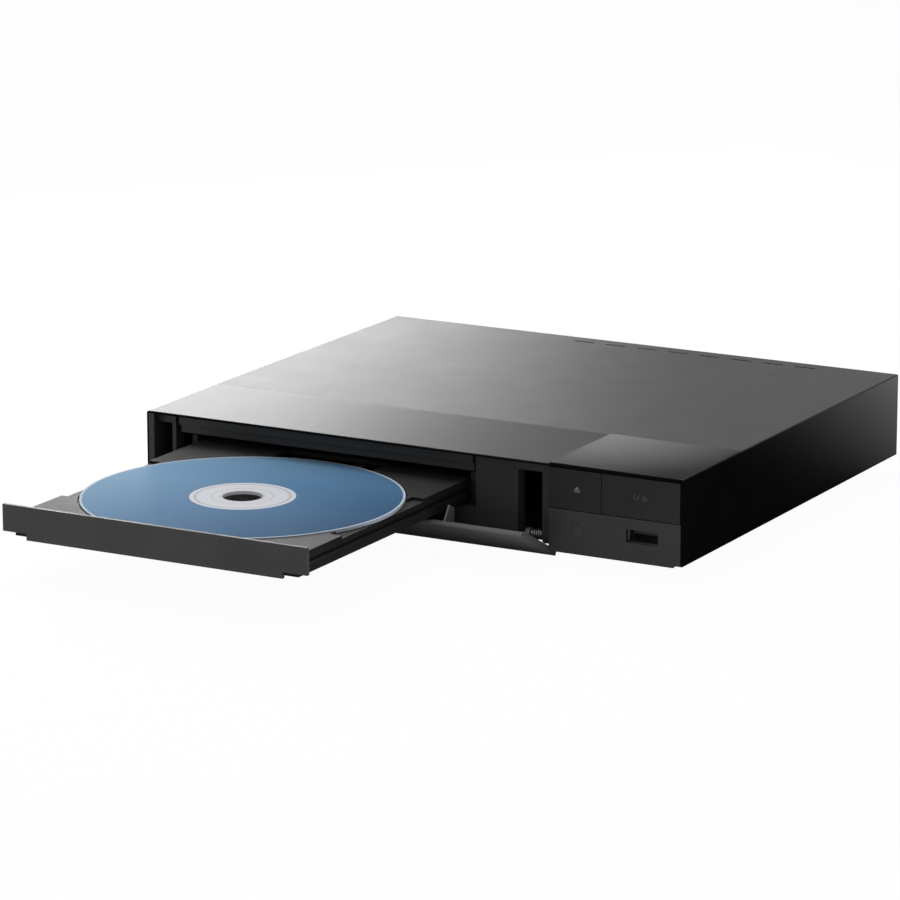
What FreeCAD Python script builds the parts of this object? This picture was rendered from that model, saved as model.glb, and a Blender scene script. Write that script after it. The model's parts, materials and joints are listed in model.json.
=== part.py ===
"""A compact disc player with its tray out, built from its separate pieces.

Lengths are in millimetres and angles in degrees. Every piece is drawn in the case's own frame: X to the
right, Y to the back and Z up from the front left bottom corner of the case. Its Placement then moves it into
the part's frame, whose origin is the middle of the whole object at the level of the feet's soles.
"""
import FreeCAD, Part
import math
import os
from types import SimpleNamespace

import Sketcher

SIZES = (
    # case
    ("body_width", 230.0),
    ("body_depth", 194.0),
    ("body_height", 33.0),
    ("cover_sheet", 0.8),
    ("chassis_sheet", 0.8),
    ("strip_depth", 50.0),
    ("strip_drop", 0.4),
    ("corner_rise", 0.3),
    ("corner_thickness", 1.3),
    ("hem_height", 6.0),
    ("cover_bend", 0.7),
    ("seam", 0.2),
    ("vent_count", 8),
    ("vent_length", 9.0),
    ("vent_width", 1.0),
    ("vent_pitch", 14.2),
    ("vent_inset", 7.25),
    ("vent_side_inset", 33.1),
    ("chassis_flange", 9.0),
    ("rib_width", 6.0),
    ("rib_height", 0.6),
    ("foot_height", 6.0),
    ("foot_radius", 8.0),
    ("foot_inset_side", 24.0),
    ("foot_inset_front", 31.0),
    ("foot_inset_back", 24.0),
    # front panel
    ("right_frame_width", 17.9),
    ("pocket_width", 10.1),
    ("block_rim", 4.5),
    ("block_drop", 0.8),
    ("block_short", 3.0),
    ("frame_setback", 3.5),
    ("frame_thickness", 2.0),
    ("panel_wall", 2.0),
    ("post_width", 2.4),
    ("post_depth", 18.0),
    ("frame_bottom", 1.2),
    ("mouth_gap", 1.5),
    ("mouth_sill", 10.5),
    ("mouth_top", 27.5),
    ("lip_bottom", 24.3),
    ("lip_setback", 1.5),
    ("lip_thickness", 2.0),
    ("cheek_thickness", 1.7),
    ("cheek_depth", 5.5),
    ("rim_rise", 0.3),
    ("pocket_top", 27.8),
    ("bearing_width", 2.2),
    ("key_split_share", 0.401),
    ("key_row", 15.8),
    ("key_gap", 0.3),
    ("key_thickness", 2.2),
    ("key_travel", 0.6),
    ("key_pin_radius", 1.0),
    ("key_pin_inset", 4.0),
    ("plunger_radius", 1.6),
    ("key_frame_setback", 4.6),
    ("key_frame_thickness", 1.2),
    ("pin_clearance", 0.08),
    ("window_radius", 2.6),
    ("window_share", 0.222),
    ("window_z", 8.2),
    ("usb_share", 0.71),
    ("usb_z", 9.0),
    ("usb_inner_width", 12.5),
    ("usb_inner_height", 5.1),
    ("usb_depth", 13.0),
    ("socket_sheet", 0.3),
    ("tongue_setback", 2.2),
    # door
    ("door_thickness", 2.2),
    ("door_edge", 1.2),
    ("door_taper", 2.5),
    ("door_top_gap", 0.9),
    ("door_bottom", 0.3),
    ("door_end_gap", 0.3),
    ("door_axis_y", 6.8),
    ("door_axis_z", 3.0),
    ("door_open", 63.0),
    ("door_pin_radius", 1.25),
    ("door_boss_radius", 2.0),
    ("door_arm_width", 2.0),
    ("door_fin_width", 0.8),
    ("door_fin_reach", 8.2),
    ("door_fin_length", 9.0),
    ("spring_wire_radius", 0.25),
    ("spring_turns", 5),
    ("spring_pitch", 0.95),
    # front board
    ("board_thickness", 1.6),
    ("front_board_y", 11.0),
    ("front_board_inset", 2.4),
    ("front_board_bottom", 2.5),
    ("front_board_top_gap", 1.9),
    ("switch_side", 6.0),
    ("switch_depth", 3.5),
    ("switch_button", 0.6),
    # disc and tray
    ("disc_radius", 60.0),
    ("disc_hole_radius", 7.5),
    ("disc_thickness", 1.2),
    ("disc_ring_radius", 17.0),
    ("disc_x", 76.8),
    ("disc_out_y", 55.0),
    ("tray_travel", 122.0),
    ("tray_top", 20.0),
    ("tray_half_width", 59.8),
    ("tray_bottom", 11.9),
    ("tray_wall", 2.0),
    ("tray_plate", 1.6),
    ("tray_bowl", 3.2),
    ("tray_rear", 100.0),
    ("bowl_rear", 62.0),
    ("recess_radius", 60.6),
    ("recess_depth", 1.2),
    ("small_recess_radius", 40.3),
    ("small_recess_depth", 0.8),
    ("disc_gap", 0.3),
    ("notch_half_length", 30.0),
    ("notch_depth", 5.0),
    ("slot_radius", 22.0),
    ("slot_rear", 70.0),
    ("groove_depth", 1.4),
    ("groove_bottom", 15.2),
    ("groove_height", 1.8),
    ("guide_gap", 0.3),
    ("bezel_half_width", 64.3),
    ("bezel_top", 23.5),
    ("bezel_bottom", 13.4),
    ("bezel_thickness", 1.5),
    ("bezel_gap", 0.3),
    ("lip_inset", 10.2),
    ("lip_drop", 2.4),
    # loading gears
    ("rack_module", 1.0),
    ("rack_pitch_x", 28.0),
    ("rack_bar", 1.65),
    ("rack_bottom", 12.6),
    ("rack_teeth", 44),
    ("pinion_teeth", 12),
    ("wheel_module", 0.6),
    ("wheel_teeth", 40),
    ("small_gear_teeth", 12),
    ("gear_y", 25.0),
    ("backlash", 0.25),
    ("wheel_thickness", 2.5),
    ("gear_lift", 1.2),
    ("pulley_radius", 8.0),
    ("pulley_thickness", 2.5),
    ("pulley_bottom", 12.0),
    ("post_radius", 1.5),
    ("running_gap", 0.06),
    ("belt_span", 30.0),
    ("belt_side", 1.2),
    ("belt_gap", 0.3),
    ("motor_pulley_radius", 2.5),
    ("motor_radius", 8.0),
    ("motor_top", 10.8),
    ("motor_shaft_radius", 0.9),
    # loader base and clamp
    ("loader_gap", 0.4),
    ("loader_wall", 2.4),
    ("loader_front", 10.0),
    ("loader_floor", 3.0),
    ("loader_floor_thickness", 1.8),
    ("loader_top", 22.5),
    ("loader_rear_gap", 1.0),
    ("lug_width", 5.2),
    ("lug_length", 10.0),
    ("clamper_lift", 1.0),
    ("bridge_thickness", 1.2),
    ("bridge_half_depth", 15.0),
    ("clamper_radius", 13.5),
    ("clamper_bottom", 21.4),
    ("clamper_thickness", 2.0),
    ("clamper_neck_radius", 8.0),
    ("clamper_flange_radius", 12.0),
    ("clamper_flange", 1.2),
    ("clamper_cone_radius", 6.9),
    ("clamp_gap", 0.3),
    ("magnet_thickness", 1.2),
    # traverse, drawn level and dropped at its front by its hinge
    ("hinge_y", 150.0),
    ("hinge_z", 10.0),
    ("drop_angle", 3.5),
    ("frame_half_width", 38.0),
    ("frame_front", 46.0),
    ("frame_rear", 154.0),
    ("frame_base", 7.5),
    ("frame_plate", 2.0),
    ("frame_rim", 5.0),
    ("frame_rail", 4.0),
    ("hinge_pin_radius", 1.5),
    ("bush_radius", 3.5),
    ("bush_width", 3.5),
    ("cam_pin_radius", 1.2),
    ("cam_pin_half_span", 17.0),
    ("cam_travel", 14.0),
    ("cam_thickness", 2.0),
    ("cam_gap", 0.3),
    ("rod_half_span", 26.0),
    ("rod_radius", 1.5),
    ("rod_seat_gap", 0.02),
    ("rod_z", 11.0),
    ("pickup_travel", 35.0),
    ("pickup_radius_in", 23.0),
    ("pickup_depth", 20.0),
    ("pickup_height", 5.5),
    ("lens_radius", 3.0),
    ("screw_offset", 4.2),
    ("screw_radius", 1.1),
    ("thread_rings", 24),
    ("spindle_radius", 14.0),
    ("spindle_height", 6.0),
    ("turntable_radius", 15.0),
    ("turntable_seat", 20.1),
    ("turntable_thickness", 2.2),
    ("hub_radius", 7.2),
    ("hub_height", 1.8),
    ("sled_motor_radius", 5.0),
    ("sled_motor_flat", 3.5),
    ("sled_motor_length", 12.0),
    ("sled_gap", 3.5),
    # boards and sockets
    ("main_board_gap", 2.4),
    ("main_board_side_gap", 3.4),
    ("main_board_front", 62.0),
    ("board_level", 6.0),
    ("standoff_radius", 3.0),
    ("chip_side", 22.0),
    ("chip_height", 1.6),
    ("sink_side", 32.0),
    ("sink_height", 9.0),
    ("sink_fins", 7),
    ("hdmi_inner_width", 14.0),
    ("hdmi_inner_height", 4.6),
    ("hdmi_depth", 11.5),
    ("lan_width", 16.0),
    ("lan_height", 13.5),
    ("lan_depth", 21.0),
    ("lan_hole_width", 11.8),
    ("lan_hole_height", 8.0),
    ("lan_hole_depth", 14.0),
    ("audio_barrel_radius", 4.1),
    ("audio_hole_radius", 1.7),
    ("power_width", 9.0),
    ("power_height", 11.0),
    ("power_depth", 14.0),
    ("power_hole_radius", 2.75),
    ("power_pin_radius", 1.0),
    ("window_gap", 0.3),
    ("screw_shank_radius", 1.45),
    ("screw_head_radius", 2.4),
    ("screw_head", 1.5),
    ("screw_slot", 0.6),
    ("screw_gap", 0.05),
    ("hole_gap", 0.2),
    ("ribbon_thickness", 0.3),
)

doc = FreeCAD.newDocument("DiscPlayer")
pieces = {}


class Size:
    """A number from the sheet, or one worked out from such numbers, with the formula that gives it."""

    def __init__(self, value, text):
        self.value = float(value)
        self.text = text

    def __add__(self, other):
        other = as_size(other)
        return Size(self.value + other.value, "(%s + %s)" % (self.text, other.text))

    def __radd__(self, other):
        return as_size(other) + self

    def __sub__(self, other):
        other = as_size(other)
        return Size(self.value - other.value, "(%s - %s)" % (self.text, other.text))

    def __rsub__(self, other):
        return as_size(other) - self

    def __mul__(self, other):
        other = as_size(other)
        return Size(self.value * other.value, "(%s * %s)" % (self.text, other.text))

    def __rmul__(self, other):
        return as_size(other) * self

    def __truediv__(self, other):
        other = as_size(other)
        return Size(self.value / other.value, "(%s / %s)" % (self.text, other.text))

    def __neg__(self):
        return Size(-self.value, "(0 - %s)" % self.text)


def as_size(number):
    """Return a Size for a plain number, or the Size itself."""
    if isinstance(number, Size):
        return number
    return Size(number, "%.9g" % number)


def cosine(angle):
    """Return the cosine of an angle in degrees."""
    return Size(math.cos(math.radians(angle.value)), "cos(%s * 1 deg)" % angle.text)


def sine(angle):
    """Return the sine of an angle in degrees."""
    return Size(math.sin(math.radians(angle.value)), "sin(%s * 1 deg)" % angle.text)


def make_sheet():
    """Fill the sheet with the driving sizes and return them by name."""
    sheet = doc.addObject("Spreadsheet::Sheet", "Sizes")
    for row, (alias, value) in enumerate(SIZES, start=1):
        sheet.set("A%d" % row, alias)
        sheet.set("B%d" % row, "%g" % value)
        sheet.setAlias("B%d" % row, alias)
    doc.recompute()
    return SimpleNamespace(**{alias: Size(sheet.get(alias), "Sizes." + alias) for alias, _ in SIZES})


def bind(thing, prop, size):
    """Tie one property of an object to a formula of the sheet."""
    thing.setExpression(prop, as_size(size).text)


def put(thing, corner):
    """Tie the base of an object's placement to three sizes."""
    for axis, size in zip("xyz", corner):
        bind(thing, "Placement.Base." + axis, size)
    return thing


def box(name, corner, extent):
    """Make a box from its lowest corner and its extents along X, Y and Z."""
    solid = doc.addObject("Part::Box", name)
    for prop, size in zip(("Length", "Width", "Height"), extent):
        bind(solid, prop, size)
    return put(solid, corner)


def span(name, low, high):
    """Make a box from its lowest and highest corners."""
    return box(name, low, [top - bottom for bottom, top in zip(low, high)])


def rod(name, axis, start, radius, length):
    """Make a cylinder that starts at a point and runs along X, Y or Z."""
    solid = doc.addObject("Part::Cylinder", name)
    bind(solid, "Radius", radius)
    bind(solid, "Height", length)
    turns = {"X": ((0, 1, 0), 90), "Y": ((1, 0, 0), -90), "Z": ((0, 0, 1), 0)}
    direction, angle = turns[axis]
    solid.Placement.Rotation = FreeCAD.Rotation(FreeCAD.Vector(*direction), angle)
    return put(solid, start)


def fuse(name, solids):
    """Join solids into one."""
    joined = doc.addObject("Part::MultiFuse", name)
    joined.Shapes = solids
    joined.Refine = True
    return joined


def cut(name, base, tools):
    """Cut tools out of a solid."""
    tool = tools[0] if len(tools) == 1 else fuse(name + "Tools", tools)
    result = doc.addObject("Part::Cut", name)
    result.Base = base
    result.Tool = tool
    result.Refine = True
    return result


def group(name, solids):
    """Gather separate solids, such as screws, in one piece of the list."""
    gathered = doc.addObject("Part::Compound", name)
    gathered.Links = solids
    return gathered


def origin_feature(body, role):
    """Find one of a body's own origin planes or axes."""
    for feature in body.Origin.OriginFeatures:
        if feature.Role == role:
            return feature
    raise ValueError(role)


def sketch_on(body, role, level):
    """Start a sketch on a body's own origin plane, moved along the plane's normal."""
    sketch = body.newObject("Sketcher::SketchObject", body.Name + "Sketch")
    sketch.AttachmentSupport = [(origin_feature(body, role), "")]
    sketch.MapMode = "FlatFace"
    bind(sketch, "AttachmentOffset.Base.z", -as_size(level) if role == "XZ_Plane" else level)
    return sketch


def fix_point(sketch, line, end, point):
    """Tie one end of a sketch line, or a circle's centre, to two sizes."""
    for kind, size in zip(("DistanceX", "DistanceY"), point):
        size = as_size(size)
        index = sketch.addConstraint(Sketcher.Constraint(kind, -1, 1, line, end, size.value))
        bind(sketch, "Constraints[%d]" % index, size)


def outline(body, role, level, points):
    """Sketch a closed outline of straight lines through points."""
    sketch = sketch_on(body, role, level)
    corners = [FreeCAD.Vector(as_size(a).value, as_size(b).value, 0) for a, b in points]
    count = len(corners)
    first = sketch.GeometryCount
    for index, corner in enumerate(corners):
        sketch.addGeometry(Part.LineSegment(corner, corners[(index + 1) % count]), False)
    for index in range(count):
        following = first + (index + 1) % count
        sketch.addConstraint(Sketcher.Constraint("Coincident", first + index, 2, following, 1))
    for index, point in enumerate(points):
        fix_point(sketch, first + index, 1, point)
    return sketch


def circle(body, role, level, centre, radius):
    """Sketch a circle."""
    sketch = sketch_on(body, role, level)
    middle = FreeCAD.Vector(as_size(centre[0]).value, as_size(centre[1]).value, 0)
    line = sketch.addGeometry(Part.Circle(middle, FreeCAD.Vector(0, 0, 1), as_size(radius).value), False)
    fix_point(sketch, line, 3, centre)
    index = sketch.addConstraint(Sketcher.Constraint("Radius", line, as_size(radius).value))
    bind(sketch, "Constraints[%d]" % index, radius)
    return sketch


def rectangle(low, high):
    """Return the corners of an upright rectangle."""
    return [(low[0], low[1]), (high[0], low[1]), (high[0], high[1]), (low[0], high[1])]


def pad(body, sketch, length, backwards=False):
    """Raise a sketch into a solid."""
    feature = body.newObject("PartDesign::Pad", body.Name + "Pad")
    feature.Profile = sketch
    feature.Reversed = backwards
    bind(feature, "Length", length)
    return feature


def pocket(body, sketch, length, backwards=False):
    """Sink a sketch into the body's solid."""
    feature = body.newObject("PartDesign::Pocket", body.Name + "Pocket")
    feature.Profile = sketch
    feature.Reversed = backwards
    bind(feature, "Length", length)
    return feature


def turned(name, points, centre, floor):
    """Turn a half profile, given as radius and height, about an upright axis."""
    body = doc.addObject("PartDesign::Body", name)
    sketch = outline(body, "XZ_Plane", centre[1], points)
    bind(sketch, "AttachmentOffset.Base.x", centre[0])
    bind(sketch, "AttachmentOffset.Base.y", floor)
    feature = body.newObject("PartDesign::Revolution", name + "Turn")
    feature.Profile = sketch
    feature.ReferenceAxis = (sketch, ["V_Axis"])
    feature.Angle = 360
    return body


def prism(name, role, level, points, length):
    """Make a body from one outline, raised along the positive axis."""
    body = doc.addObject("PartDesign::Body", name)
    pad(body, outline(body, role, level, points), length, role == "XZ_Plane")
    return body


def toothed(name, centre, floor, module, teeth, height, first_angle):
    """Make a spur gear: a root disc and a tooth repeated round it."""
    body = doc.addObject("PartDesign::Body", name)
    pitch_radius = module * teeth / 2
    root = pitch_radius - module * 1.25
    tip = pitch_radius + module
    half = module * (math.pi / 4) - s.backlash / 2
    pad(body, circle(body, "XY_Plane", as_size(0), (0, 0), root + module * 0.05), height)
    half_root = half * 0.95
    half_tip = half * 0.36
    points = [(root - module * 0.3, -half_root), (pitch_radius, -half), (tip, -half_tip)]
    points += [(tip, half_tip), (pitch_radius, half), (root - module * 0.3, half_root)]
    tooth = pad(body, outline(body, "XY_Plane", as_size(0), points), height)
    pattern = body.newObject("PartDesign::PolarPattern", name + "Teeth")
    pattern.Originals = [tooth]
    pattern.Axis = (origin_feature(body, "Z_Axis"), [""])
    pattern.Angle = 360
    bind(pattern, "Occurrences", teeth)
    body.Tip = pattern
    body.Placement.Rotation = FreeCAD.Rotation(FreeCAD.Vector(0, 0, 1), 1)
    bind(body, "Placement.Rotation.Angle", first_angle)
    return put(body, (centre[0], centre[1], floor))


def keep(piece, label):
    """Name a finished piece and move it into the part's frame."""
    piece.Label = label
    put(piece, g.shift)
    pieces[label] = piece
    return piece


def keep_tilted(piece, label, axis_y, axis_z, angle):
    """Name a piece that is drawn level, and turn it about a cross axis to where it rests."""
    piece.Label = label
    piece.Placement.Rotation = FreeCAD.Rotation(FreeCAD.Vector(1, 0, 0), 1)
    bind(piece, "Placement.Rotation.Angle", angle)
    base_y = axis_y - axis_y * cosine(angle) + axis_z * sine(angle) + g.shift[1]
    base_z = axis_z - axis_y * sine(angle) - axis_z * cosine(angle) + g.shift[2]
    put(piece, (g.shift[0], base_y, base_z))
    pieces[label] = piece
    return piece


def keep_on_traverse(piece, label):
    """Name a piece that rides on the traverse, which rests dropped at its front."""
    return keep_tilted(piece, label, s.hinge_y, s.hinge_z, s.drop_angle)


def work_out_places():
    """Work out the planes and centres that several pieces share."""
    places = SimpleNamespace()
    places.front_most = s.disc_out_y + s.disc_radius + s.bezel_gap + s.bezel_thickness
    places.back_most = s.body_depth + s.screw_head
    places.shift = (-s.body_width / 2, -(places.back_most - places.front_most) / 2, s.foot_height)
    places.cover_top = s.body_height - s.corner_rise
    places.right_inside = s.body_width - s.cover_sheet
    places.panel_top = places.cover_top - s.cover_sheet - s.strip_drop
    places.corner_bottom = places.cover_top - s.corner_thickness
    places.frame_back = s.frame_setback + s.frame_thickness
    places.mouth_left = s.disc_x - s.bezel_half_width - s.mouth_gap
    places.mouth_right = s.disc_x + s.bezel_half_width + s.mouth_gap
    places.pocket_left = places.mouth_right + s.right_frame_width
    places.pocket_right = places.pocket_left + s.pocket_width
    places.block_left = places.pocket_right + s.block_rim
    block_width = places.right_inside - places.block_left
    places.key_split = places.block_left + block_width * s.key_split_share
    places.window_x = places.block_left + block_width * s.window_share
    places.usb_x = places.block_left + block_width * s.usb_share
    places.front_board_top = places.corner_bottom - s.front_board_top_gap
    places.post_right = s.cover_sheet + s.post_width
    places.rear_wall = s.body_depth - s.cover_sheet
    places.rear_inside = places.rear_wall - s.cover_sheet
    places.key_floor = s.key_row + s.key_gap / 2
    places.key_roof = places.corner_bottom - s.key_gap
    places.key_middle = (places.key_floor + places.key_roof) / 2
    places.eject_left = places.block_left + s.key_gap
    places.eject_right = places.key_split - s.key_gap / 2
    places.power_left = places.key_split + s.key_gap / 2
    places.power_right = places.right_inside - s.key_gap
    places.key_centres = (
        (places.eject_left + places.eject_right) / 2,
        (places.power_left + places.power_right) / 2,
    )
    places.recess_floor = s.tray_top - s.recess_depth
    places.disc_bottom = places.recess_floor + s.disc_gap
    places.disc_y = -s.disc_out_y
    places.disc_in_y = s.tray_travel - s.disc_out_y
    places.tray_left = s.disc_x - s.tray_half_width
    places.tray_right = s.disc_x + s.tray_half_width
    places.bezel_front = -places.front_most
    places.tray_front = places.bezel_front + s.bezel_thickness
    places.tray_back = places.disc_y + s.tray_rear
    places.loader_left = places.tray_left - s.loader_gap
    places.loader_right = places.tray_right + s.loader_gap
    places.loader_back = places.tray_back + s.tray_travel + s.loader_rear_gap
    places.loader_deck = s.loader_floor + s.loader_floor_thickness
    places.drive_x = s.rack_pitch_x + s.rack_module * s.pinion_teeth / 2
    gear_span = s.wheel_module * (s.wheel_teeth + s.small_gear_teeth) / 2
    places.pulley_x = places.drive_x + gear_span
    places.motor_x = places.pulley_x + s.belt_span
    places.gear_floor = places.loader_deck + s.gear_lift
    places.board_top = s.board_level + s.board_thickness
    places.main_board_left = places.loader_right + s.loader_wall + s.lug_width + s.main_board_gap
    places.main_board_right = places.right_inside - s.chassis_sheet - s.main_board_side_gap
    places.bridge_bottom = s.clamper_bottom + s.clamper_thickness + s.clamper_lift
    places.frame_left = s.disc_x - s.frame_half_width
    places.frame_right = s.disc_x + s.frame_half_width
    places.rod_left = s.disc_x - s.rod_half_span
    places.rod_right = s.disc_x + s.rod_half_span
    places.screw_x = places.rod_right + s.screw_offset
    places.pickup_y = places.disc_in_y + s.pickup_radius_in
    return places


def screw(name, axis, seat, length):
    """Make one screw, its slotted head standing on its seat towards the positive axis."""
    lane = "XYZ".index(axis)
    across = [i for i in range(3) if i != lane]
    start = list(seat)
    start[lane] = seat[lane] - length
    shank = rod(name + "Shank", axis, start, s.screw_shank_radius, length)
    head = rod(name + "Head", axis, seat, s.screw_head_radius, s.screw_head)
    slots = []
    for narrow, wide in (across, across[::-1]):
        low = list(seat)
        extent = [s.screw_head] * 3
        low[lane] = seat[lane] + s.screw_head * 0.5
        low[narrow] = seat[narrow] - s.screw_slot / 2
        extent[narrow] = s.screw_slot
        low[wide] = seat[wide] - s.screw_head_radius * 0.7
        extent[wide] = s.screw_head_radius * 1.4
        slots.append(box(name + "Slot", low, extent))
    return cut(name, fuse(name + "Blank", [shank, head]), slots)


def make_top_cover():
    """Make the lid: one folded sheet with a sloping front strip, two sides, a rear hem and vent slots."""
    top = g.cover_top
    plate = span("CoverPlate", (0, s.strip_depth, top - s.cover_sheet), (s.body_width, s.body_depth, top))
    strip = doc.addObject("Part::Wedge", "CoverStrip")
    low = top - s.cover_sheet
    edges = (("Xmin", 0), ("X2min", 0), ("Xmax", g.block_left), ("X2max", g.block_left))
    edges += (("Ymin", 0), ("Ymax", s.strip_depth), ("Z2min", low), ("Z2max", top))
    edges += (("Zmin", low - s.strip_drop), ("Zmax", top - s.strip_drop))
    for prop, size in edges:
        bind(strip, prop, size)
    side_height = top - (s.cover_sheet + s.strip_drop) / 2
    left = box("CoverLeft", (0, 0, 0), (s.cover_sheet, s.body_depth, side_height))
    right = box("CoverRight", (g.right_inside, 0, 0), (s.cover_sheet, s.body_depth, top))
    hem = span(
        "CoverHem",
        (s.cover_sheet, g.rear_wall, top - s.cover_sheet - s.hem_height),
        (g.right_inside, s.body_depth, top - s.cover_sheet),
    )
    tools = []
    last_x = s.body_width - s.vent_side_inset - s.vent_length
    for index in range(int(s.vent_count.value)):
        corner = (last_x - s.vent_pitch * index, s.body_depth - s.vent_inset, top - s.cover_sheet * 2)
        tools.append(box("Vent", corner, (s.vent_length, s.vent_width, s.cover_sheet * 3)))
    for x in hem_screw_places():
        start = (x, g.rear_wall - s.cover_sheet, hem_screw_level())
        tools.append(rod("HemHole", "Y", start, s.screw_shank_radius + s.hole_gap, s.cover_sheet * 3))
    shell = cut("CoverShell", fuse("CoverBlank", [plate, strip, left, right, hem]), tools)
    return round_cover(shell)


def round_cover(shell):
    """Round the cover's front edge and its two long folds, where the sheet bends down into its sides."""
    doc.recompute()
    chosen = []
    for index, edge in enumerate(shell.Shape.Edges, start=1):
        box_of_edge = edge.BoundBox
        along_back = box_of_edge.YLength > s.strip_depth.value * 0.9
        at_top = box_of_edge.ZMax > (g.cover_top - s.strip_drop * 0.5).value
        left = box_of_edge.XMax < s.seam.value * 0.5
        right = box_of_edge.XMin > (s.body_width - s.seam * 0.5).value
        across = box_of_edge.XLength > g.block_left.value * 0.9
        high = box_of_edge.ZMax > (g.panel_top + s.cover_sheet / 2).value
        front = box_of_edge.YMax < s.seam.value * 0.5 and high
        if (along_back and at_top and (left or right)) or (across and front):
            chosen.append((index, s.cover_bend.value, s.cover_bend.value))
    rounded = doc.addObject("Part::Fillet", "CoverFolds")
    rounded.Base = shell
    rounded.Edges = chosen
    return rounded


def hem_screw_places():
    """Return where the rear screws stand along the width."""
    return [s.body_width * share for share in (0.08, 0.5, 0.92)]


def hem_screw_level():
    """Return the height of the rear screws."""
    return g.cover_top - s.cover_sheet - s.hem_height / 2


def make_corner_panel():
    """Make the smooth plate at the front right of the top, highest along its left edge."""
    left = g.block_left + s.seam
    right = g.right_inside - s.seam
    low = g.corner_bottom
    points = [(left, low), (right, low), (right, g.cover_top), (left, s.body_height)]
    return prism("CornerPanel", "XZ_Plane", as_size(0), points, s.strip_depth - s.seam)


def make_bottom_chassis():
    """Make the floor sheet with its side flanges, stiffening ribs, board standoffs and vent slots."""
    sheet = s.chassis_sheet
    front = s.door_axis_y + s.door_boss_radius + s.pin_clearance * 3 + 2
    left = s.cover_sheet
    floor = span("ChassisFloor", (left, front, 0), (g.right_inside, g.rear_inside, sheet))
    corner_low = (g.block_wall, s.panel_wall + s.seam, 0)
    solids = [floor, span("ChassisCorner", corner_low, (g.right_inside, front, sheet))]
    for x in (left, g.right_inside - sheet):
        low = (x, s.post_depth + s.seam, 0)
        solids.append(span("ChassisFlange", low, (x + sheet, g.rear_inside, s.chassis_flange)))
    for x, y in board_screw_places():
        solids.append(rod("Standoff", "Z", (x, y, 0), s.standoff_radius, s.board_level))
    for share in (0.3, 0.55):
        y = s.body_depth * share
        low = (g.loader_right + s.loader_wall + s.lug_width + 2, y, sheet)
        solids.append(box("ChassisRib", low, (s.lug_width * 3, s.rib_width, s.rib_height)))
    tools = []
    for x, y in board_screw_places():
        start = (x, y, sheet)
        tools.append(rod("StandoffHole", "Z", start, s.screw_shank_radius + s.screw_gap, s.board_level))
    for x, y in loader_screw_places():
        start = (x, y, -sheet)
        tools.append(rod("LoaderHole", "Z", start, s.screw_shank_radius + s.screw_gap, sheet * 3))
    for x, y in foot_places():
        tools.append(rod("FootHole", "Z", (x, y, -sheet), s.foot_radius * 0.3, sheet * 3))
    for index in range(6):
        low = (s.body_width * 0.68, s.body_depth * 0.42 + s.vent_width * 2.5 * index, -sheet)
        tools.append(box("FloorVent", low, (s.vent_length * 3, s.vent_width, sheet * 3)))
    return cut("Chassis", fuse("ChassisBlank", solids), tools)


def board_screw_places():
    """Return where the main board is screwed down."""
    inset = s.standoff_radius + 1
    xs = (g.main_board_left + inset, g.main_board_right - inset)
    ys = (s.main_board_front + inset, g.rear_inside - s.lan_depth - inset)
    return [(x, y) for x in xs for y in ys]


def loader_screw_places():
    """Return where the loader's lugs are screwed to the floor."""
    xs = (g.loader_left - s.loader_wall - s.lug_width / 2, g.loader_right + s.loader_wall + s.lug_width / 2)
    ys = (s.loader_front + s.lug_length * 1.5, g.loader_back - s.lug_length * 1.5)
    return [(x, y) for x in xs for y in ys]


def foot_places():
    """Return the centres of the four feet."""
    xs = (s.foot_inset_side, s.body_width - s.foot_inset_side)
    ys = (s.foot_inset_front, s.body_depth - s.foot_inset_back)
    return [(x, y) for x in xs for y in ys]


def make_feet():
    """Make the four feet, each with a peg that snaps into the floor sheet."""
    radius = s.foot_radius
    height = s.foot_height
    peg = radius * 0.3 - s.pin_clearance
    profile = [(0, -height), (radius * 0.82, -height), (radius * 0.94, -height * 0.8), (radius, 0)]
    profile += [(peg, 0), (peg, s.chassis_sheet * 2), (0, s.chassis_sheet * 2)]
    feet = [turned("Foot", profile, place, as_size(0)) for place in foot_places()]
    return group("Feet", feet)


def make_rear_panel():
    """Make the rear sheet with a window for each socket and the holes for the hem screws."""
    low = (s.cover_sheet, g.rear_inside, s.chassis_sheet)
    high = (g.right_inside, g.rear_wall, g.cover_top - s.cover_sheet)
    sheet = span("RearSheet", low, high)
    flange = span(
        "RearFlange",
        (s.cover_sheet + s.chassis_sheet, g.rear_inside - s.lug_length, s.chassis_sheet),
        (g.rear_flange_end, g.rear_inside, s.chassis_sheet * 2),
    )
    tools = []
    gap = s.window_gap
    for low_corner, high_corner in socket_faces():
        start = (low_corner[0] - gap, g.rear_inside - 1, low_corner[1] - gap)
        end = (high_corner[0] + gap, g.rear_wall + 1, high_corner[1] + gap)
        tools.append(span("SocketWindow", start, end))
    start = (g.audio_x, g.rear_inside - 1, g.audio_z)
    tools.append(rod("AudioWindow", "Y", start, s.audio_barrel_radius + gap, s.cover_sheet + 2))
    for x in hem_screw_places():
        start = (x, g.rear_inside - 1, hem_screw_level())
        tools.append(rod("HemThread", "Y", start, s.screw_shank_radius + s.screw_gap, s.cover_sheet + 2))
    return cut("RearPanel", fuse("RearBlank", [sheet, flange]), tools)


def socket_faces():
    """Return the outer faces of the square sockets, as low and high corners in X and Z."""
    faces = []
    hdmi_half = s.hdmi_inner_width / 2 + s.socket_sheet
    hdmi_height = s.hdmi_inner_height + s.socket_sheet * 2
    faces.append(((g.hdmi_x - hdmi_half, g.board_top), (g.hdmi_x + hdmi_half, g.board_top + hdmi_height)))
    lan_half = s.lan_width / 2
    faces.append(((g.lan_x - lan_half, g.board_top), (g.lan_x + lan_half, g.board_top + s.lan_height)))
    power_half = s.power_width / 2
    power_top = g.board_top + s.power_height
    faces.append(((g.power_x - power_half, g.board_top), (g.power_x + power_half, power_top)))
    return faces


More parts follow.
